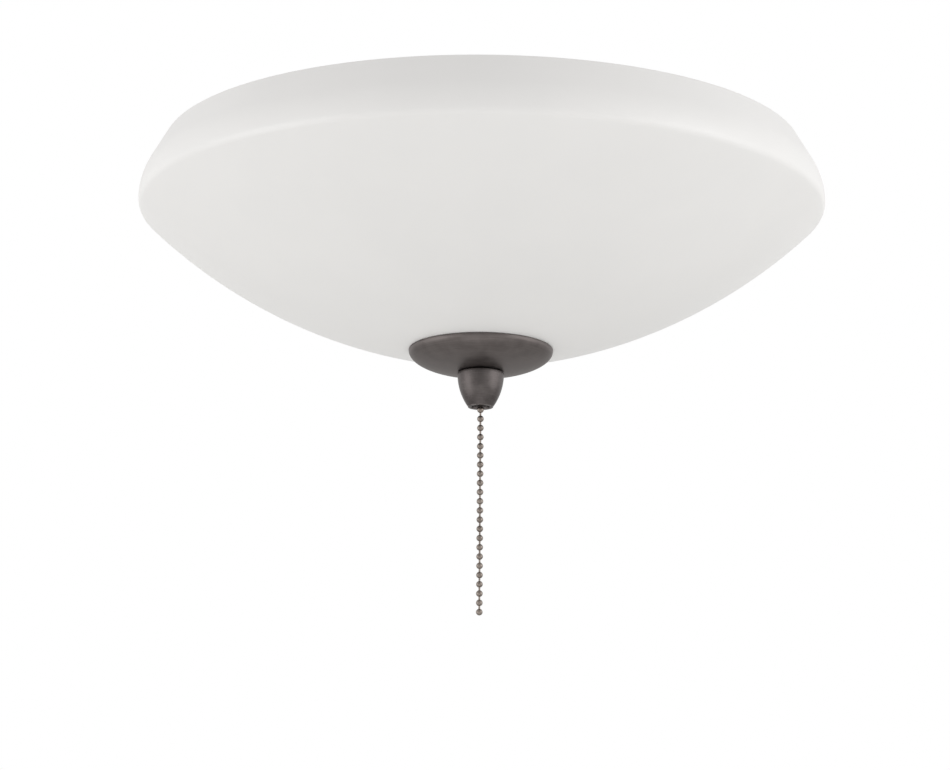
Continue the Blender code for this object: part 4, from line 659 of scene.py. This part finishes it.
body = [(0.006, 0.0196, 0.0003), (0.006, 0.0125, 0.0008), (0.0035, 0.0006, 0.0005), (0.0, 0.0003)]
hollow = [(0.0, 0.005), (0.0022, 0.005), (0.0047, 0.0120), (0.0047, 0.0198, 0.0002), (0.006, 0.02, 0.0002)]
for node in ("wire_nut_supply", "wire_nut_live", "wire_nut_neutral"):
    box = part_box(node)
    shape = lathe(eased(hollow + body, 3), 48, closed=False)
    bmesh.ops.inset_region(shape, faces=[face for face in shape.faces if in_groove(face)], thickness=0.00008,
                           depth=-0.0003, use_even_offset=True)
    hang(stand(shape, box, box[0].z), f"ribbed_{node}", "fixture", moulding, "black_moulding", node)

black_cover = finish("black_lead_cover", (0.04, 0.04, 0.042), (0.025, 0.025, 0.027), (0.35, 0.5), grain=900.0,
                     relief=0.00001)
white_cover = finish("white_lead_cover", (0.78, 0.77, 0.74), (0.72, 0.71, 0.67), (0.35, 0.5), grain=900.0,
                     relief=0.00001)
for node in ("lead_live_a", "lead_live_b", "lead_switch_in", "lead_switch_out", "lead_neutral_a",
             "lead_neutral_b"):
    shape = bmesh.new()
    shape.from_mesh(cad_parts[node].data)
    bmesh.ops.remove_doubles(shape, verts=shape.verts, dist=0.000001)
    bmesh.ops.join_triangles(shape, faces=shape.faces, angle_face_threshold=math.radians(40.0),
                             angle_shape_threshold=math.radians(60.0))
    white = "neutral" in node
    lead = hang(shape, f"covered_{node}", "fixture", white_cover if white else black_cover,
                "lead_white" if white else "lead_black", node, sharp=80.0)
    rounder = lead.modifiers.new("rounder", "SUBSURF")
    rounder.levels = rounder.render_levels = 2


# What the glass is clamped against: a nut and a steel washer on the rod, a rubber washer between them and the
# bowl's floor, and a flanged rubber bushing that lines the bowl's hole.

rod_nut("stop_nut")
low, high = at_rest("stop_washer")
outline = eased([(0.013, low, 0.0002), (0.013, high, 0.0003), (clear_bore, high, 0.0001),
                 (clear_bore, low, 0.0002)])
hang(lathe(outline, 72), "flat_washer", "fixture", zinc, "zinc_steel", "stop_washer")
low, high = at_rest("glass_washer")
outline = eased([(0.013, low, 0.0005), (0.013, high, 0.0005), (clear_bore, high, 0.0003),
                 (clear_bore, low, 0.0003)])
hang(lathe(outline, 64), "rubber_washer", "bowl", rubber, "black_rubber", "glass_washer")
low, high = at_rest("glass_bushing")
flange_top = low + 0.002
outline = eased([(0.0062, high, 0.0004), (0.0062, flange_top, 0.0001), (0.0137, flange_top, 0.0004),
                 (0.0137, low, 0.0005), (clear_bore, low, 0.0003), (clear_bore, high, 0.0003)])
hang(lathe(outline, 64), "rubber_bushing", "bowl", rubber, "black_rubber", "glass_bushing")


# The glass bowl: opal glass blown into a mould, with a fire-polished rim, a steep upper band that leans in,
# one crease at the widest place and a shallow lower bowl, ground flat round its hole for the bushing.

bowl_wall, bowl_rim, rim_level = 0.0036, 0.1532, -0.026
band_lean, crease_turn, lower_curve, ground_flat = 30.5, 46.0, 0.258, 0.014
shoulder = arc((0.138, 0.0), 0.027, band_lean, 0.0, 12)
band_top = shoulder[0].y + (shoulder[0].x - bowl_rim) / math.tan(math.radians(band_lean))
crease = arc((0.1597, 0.0), 0.0053, 0.0, -crease_turn, 12)
slope = math.radians(90.0 - crease_turn)
lower_centre = (crease[-1].x - lower_curve * math.sin(slope), crease[-1].y + lower_curve * math.cos(slope))
lower_end = math.degrees(math.asin((ground_flat - lower_centre[0]) / lower_curve)) - 90.0
lower = arc(lower_centre, lower_curve, -crease_turn, lower_end, 48)
line = [Vector((bowl_rim, band_top))] + shoulder + crease[1:] + lower[1:]
line = [point + Vector((0.0, rim_level - band_top)) for point in line]
shell = walled(line, bowl_wall)
rim_middle = (shell[0] + shell[-1]) / 2
rim = arc(rim_middle, bowl_wall / 2, 180.0 - band_lean + 60.0, band_lean, 10)[1:-1]
bowl_under, bowl_floor = line[-1].y, shell[len(line)].y
hole, hole_ease = 0.0065, 0.0004
hole_edge = [Vector((hole + hole_ease, bowl_under)), Vector((hole, bowl_under + hole_ease)),
             Vector((hole, bowl_floor - hole_ease)), Vector((hole + hole_ease, bowl_floor))]
outline = rim + line + hole_edge + shell[len(line):]

opal = finish("opal_glass_blown", (0.75, 0.742, 0.736), (0.73, 0.724, 0.719), (0.34, 0.42), grain=22.0,
              relief=0.00008, Subsurface_Weight=0.12, Subsurface_Radius=(0.004, 0.004, 0.004),
              Subsurface_Scale=1.0)
hang(lathe(outline, 160), "blown_bowl", "bowl", opal, "opal_glass", "glass_bowl", sharp=40.0)


# The cap under the glass: a shallow dish of spun steel sheet with the housing's finish, brushed in rings and
# with a highlight painted at its rim. The finial's washer presses it up against the glass.

cap_high = at_rest("finial_cap")[1]
cap_radius, cap_flat, cap_depth, cap_lip = 0.0345, 0.009, 0.0112, 0.0006
ease = math.acos(cap_flat / cap_radius)
fall = (cap_depth - cap_lip) / math.sin(ease)
dish = [Vector((cap_radius, 0.0))]
for step in range(33):
    turn = ease * step / 32
    dish.append(Vector((cap_radius * math.cos(turn), -cap_lip - fall * math.sin(turn))))
dish.append(Vector((clear_bore, -cap_depth)))
outline = [point + Vector((0.0, cap_high)) for point in walled(dish, 0.0009)]
shape = lathe(outline, 128)
rims = [edge for edge in shape.edges if edge.verts[0].co.xy.length > cap_radius - 0.001
        and edge.calc_face_angle(0.0) > 0.9 and abs(edge.verts[0].co.z - edge.verts[1].co.z) < 0.00001]
bmesh.ops.bevel(shape, geom=rims, offset=0.0002, segments=3, profile=0.5, affect="EDGES", material=-1)
hang(shape, "spun_cap", "cap", pewter, "dark_pewter", "finial_cap", sharp=50.0)


# The finial and its washer: a bullet-shaped nut turned from bar, with the same finish brushed round it but
# painted darker as shade, bored for the rod and countersunk below where the chain leaves it, and a nylon
# washer in its top.

finial_low, finial_high = at_rest("finial")
flank_curve, finial_radius, chain_mouth, washer_seat = 0.028, 0.0111, 0.0038, finial_high - 0.0009
side_end = math.degrees(math.asin(0.016 / flank_curve))
flank = arc((finial_radius - flank_curve, finial_high - 0.0003), flank_curve, -0.6, -side_end, 28)
foot = flank[-1]
mouth_rim = [Vector((foot.x - 0.00012, foot.y - 0.00035)), Vector((foot.x - 0.0004, finial_low + 0.00008)),
             Vector((foot.x - 0.0007, finial_low)), Vector((0.00462, finial_low)),
             Vector((0.00445, finial_low + 0.00012)), Vector((chain_mouth, finial_low + 0.0022))]
bore_top = finial_high - 0.0108
inside = [Vector((chain_mouth, bore_top)), Vector((clear_bore, bore_top)), Vector((clear_bore, washer_seat)),
          Vector((0.0089, washer_seat)), Vector((0.0089, finial_high)), Vector((0.0108, finial_high)),
          Vector((0.01105, finial_high - 0.00012))]
# Painted shade: the cap's pewter in a darker colour, with a painted highlight at its edges.
shaded_turned_pewter = finish("shaded_turned_pewter", (0.113, 0.101, 0.099), (0.080, 0.070, 0.069), (0.32, 0.44), metal=1.0,
                       grain=3400.0, relief=0.000008, spun=0.0005, edge_highlight=(0.19, 0.17, 0.16), Anisotropic=0.6)
hang(lathe(flank + mouth_rim + inside, 96), "turned_finial", "finial", shaded_turned_pewter, "dark_pewter", "finial")

low, high = at_rest("finial_washer")
outline = eased([(0.0086, low, 0.00012), (0.0086, high, 0.00012), (clear_bore, high, 0.0001),
                 (clear_bore, low, 0.0001)])
hang(lathe(outline, 64), "nylon_washer", "finial_washer", nylon, "nylon", "finial_washer")


# The pull chain: hollow balls rolled from plated strip and closed round short wire links, 53 of them from
# the slide in the switch, down through the rod and the finial, to the free end.

ball_count, ball, pitch = 53, 0.0016, 0.004464
link, link_root, ball_mouth, closed_end = 0.00045, 0.00058, 0.0007, 12.0
top_ball = at_rest("pull_chain")[1] - ball
edge_turn = math.degrees(math.asin(ball_mouth / ball))
neck = ball * math.cos(math.radians(edge_turn))
outline = [Vector((0.0, top_ball + ball))]
for number in range(ball_count):
    middle = top_ball - pitch * number
    first, final = number == 0, number == ball_count - 1
    start = 90.0 - (closed_end if first else edge_turn)
    end = -90.0 + (closed_end if final else edge_turn)
    if not first:
        outline += [Vector((link, middle + neck - 0.00018)), Vector((link_root, middle + neck - 0.00008))]
    outline += arc((0.0, middle), ball, start, end, 10)
    if not final:
        outline += [Vector((link_root, middle - neck + 0.00008)), Vector((link, middle - neck + 0.00018))]
outline.append(Vector((0.0, middle - ball)))
plated = finish("plated_chain", (0.29, 0.252, 0.226), (0.19, 0.163, 0.145), (0.34, 0.48), metal=1.0,
                grain=900.0, relief=0.00001)
hang(lathe(outline, 20, closed=False), "ball_chain", "chain", plated, "chain_metal", "pull_chain", sharp=60.0)
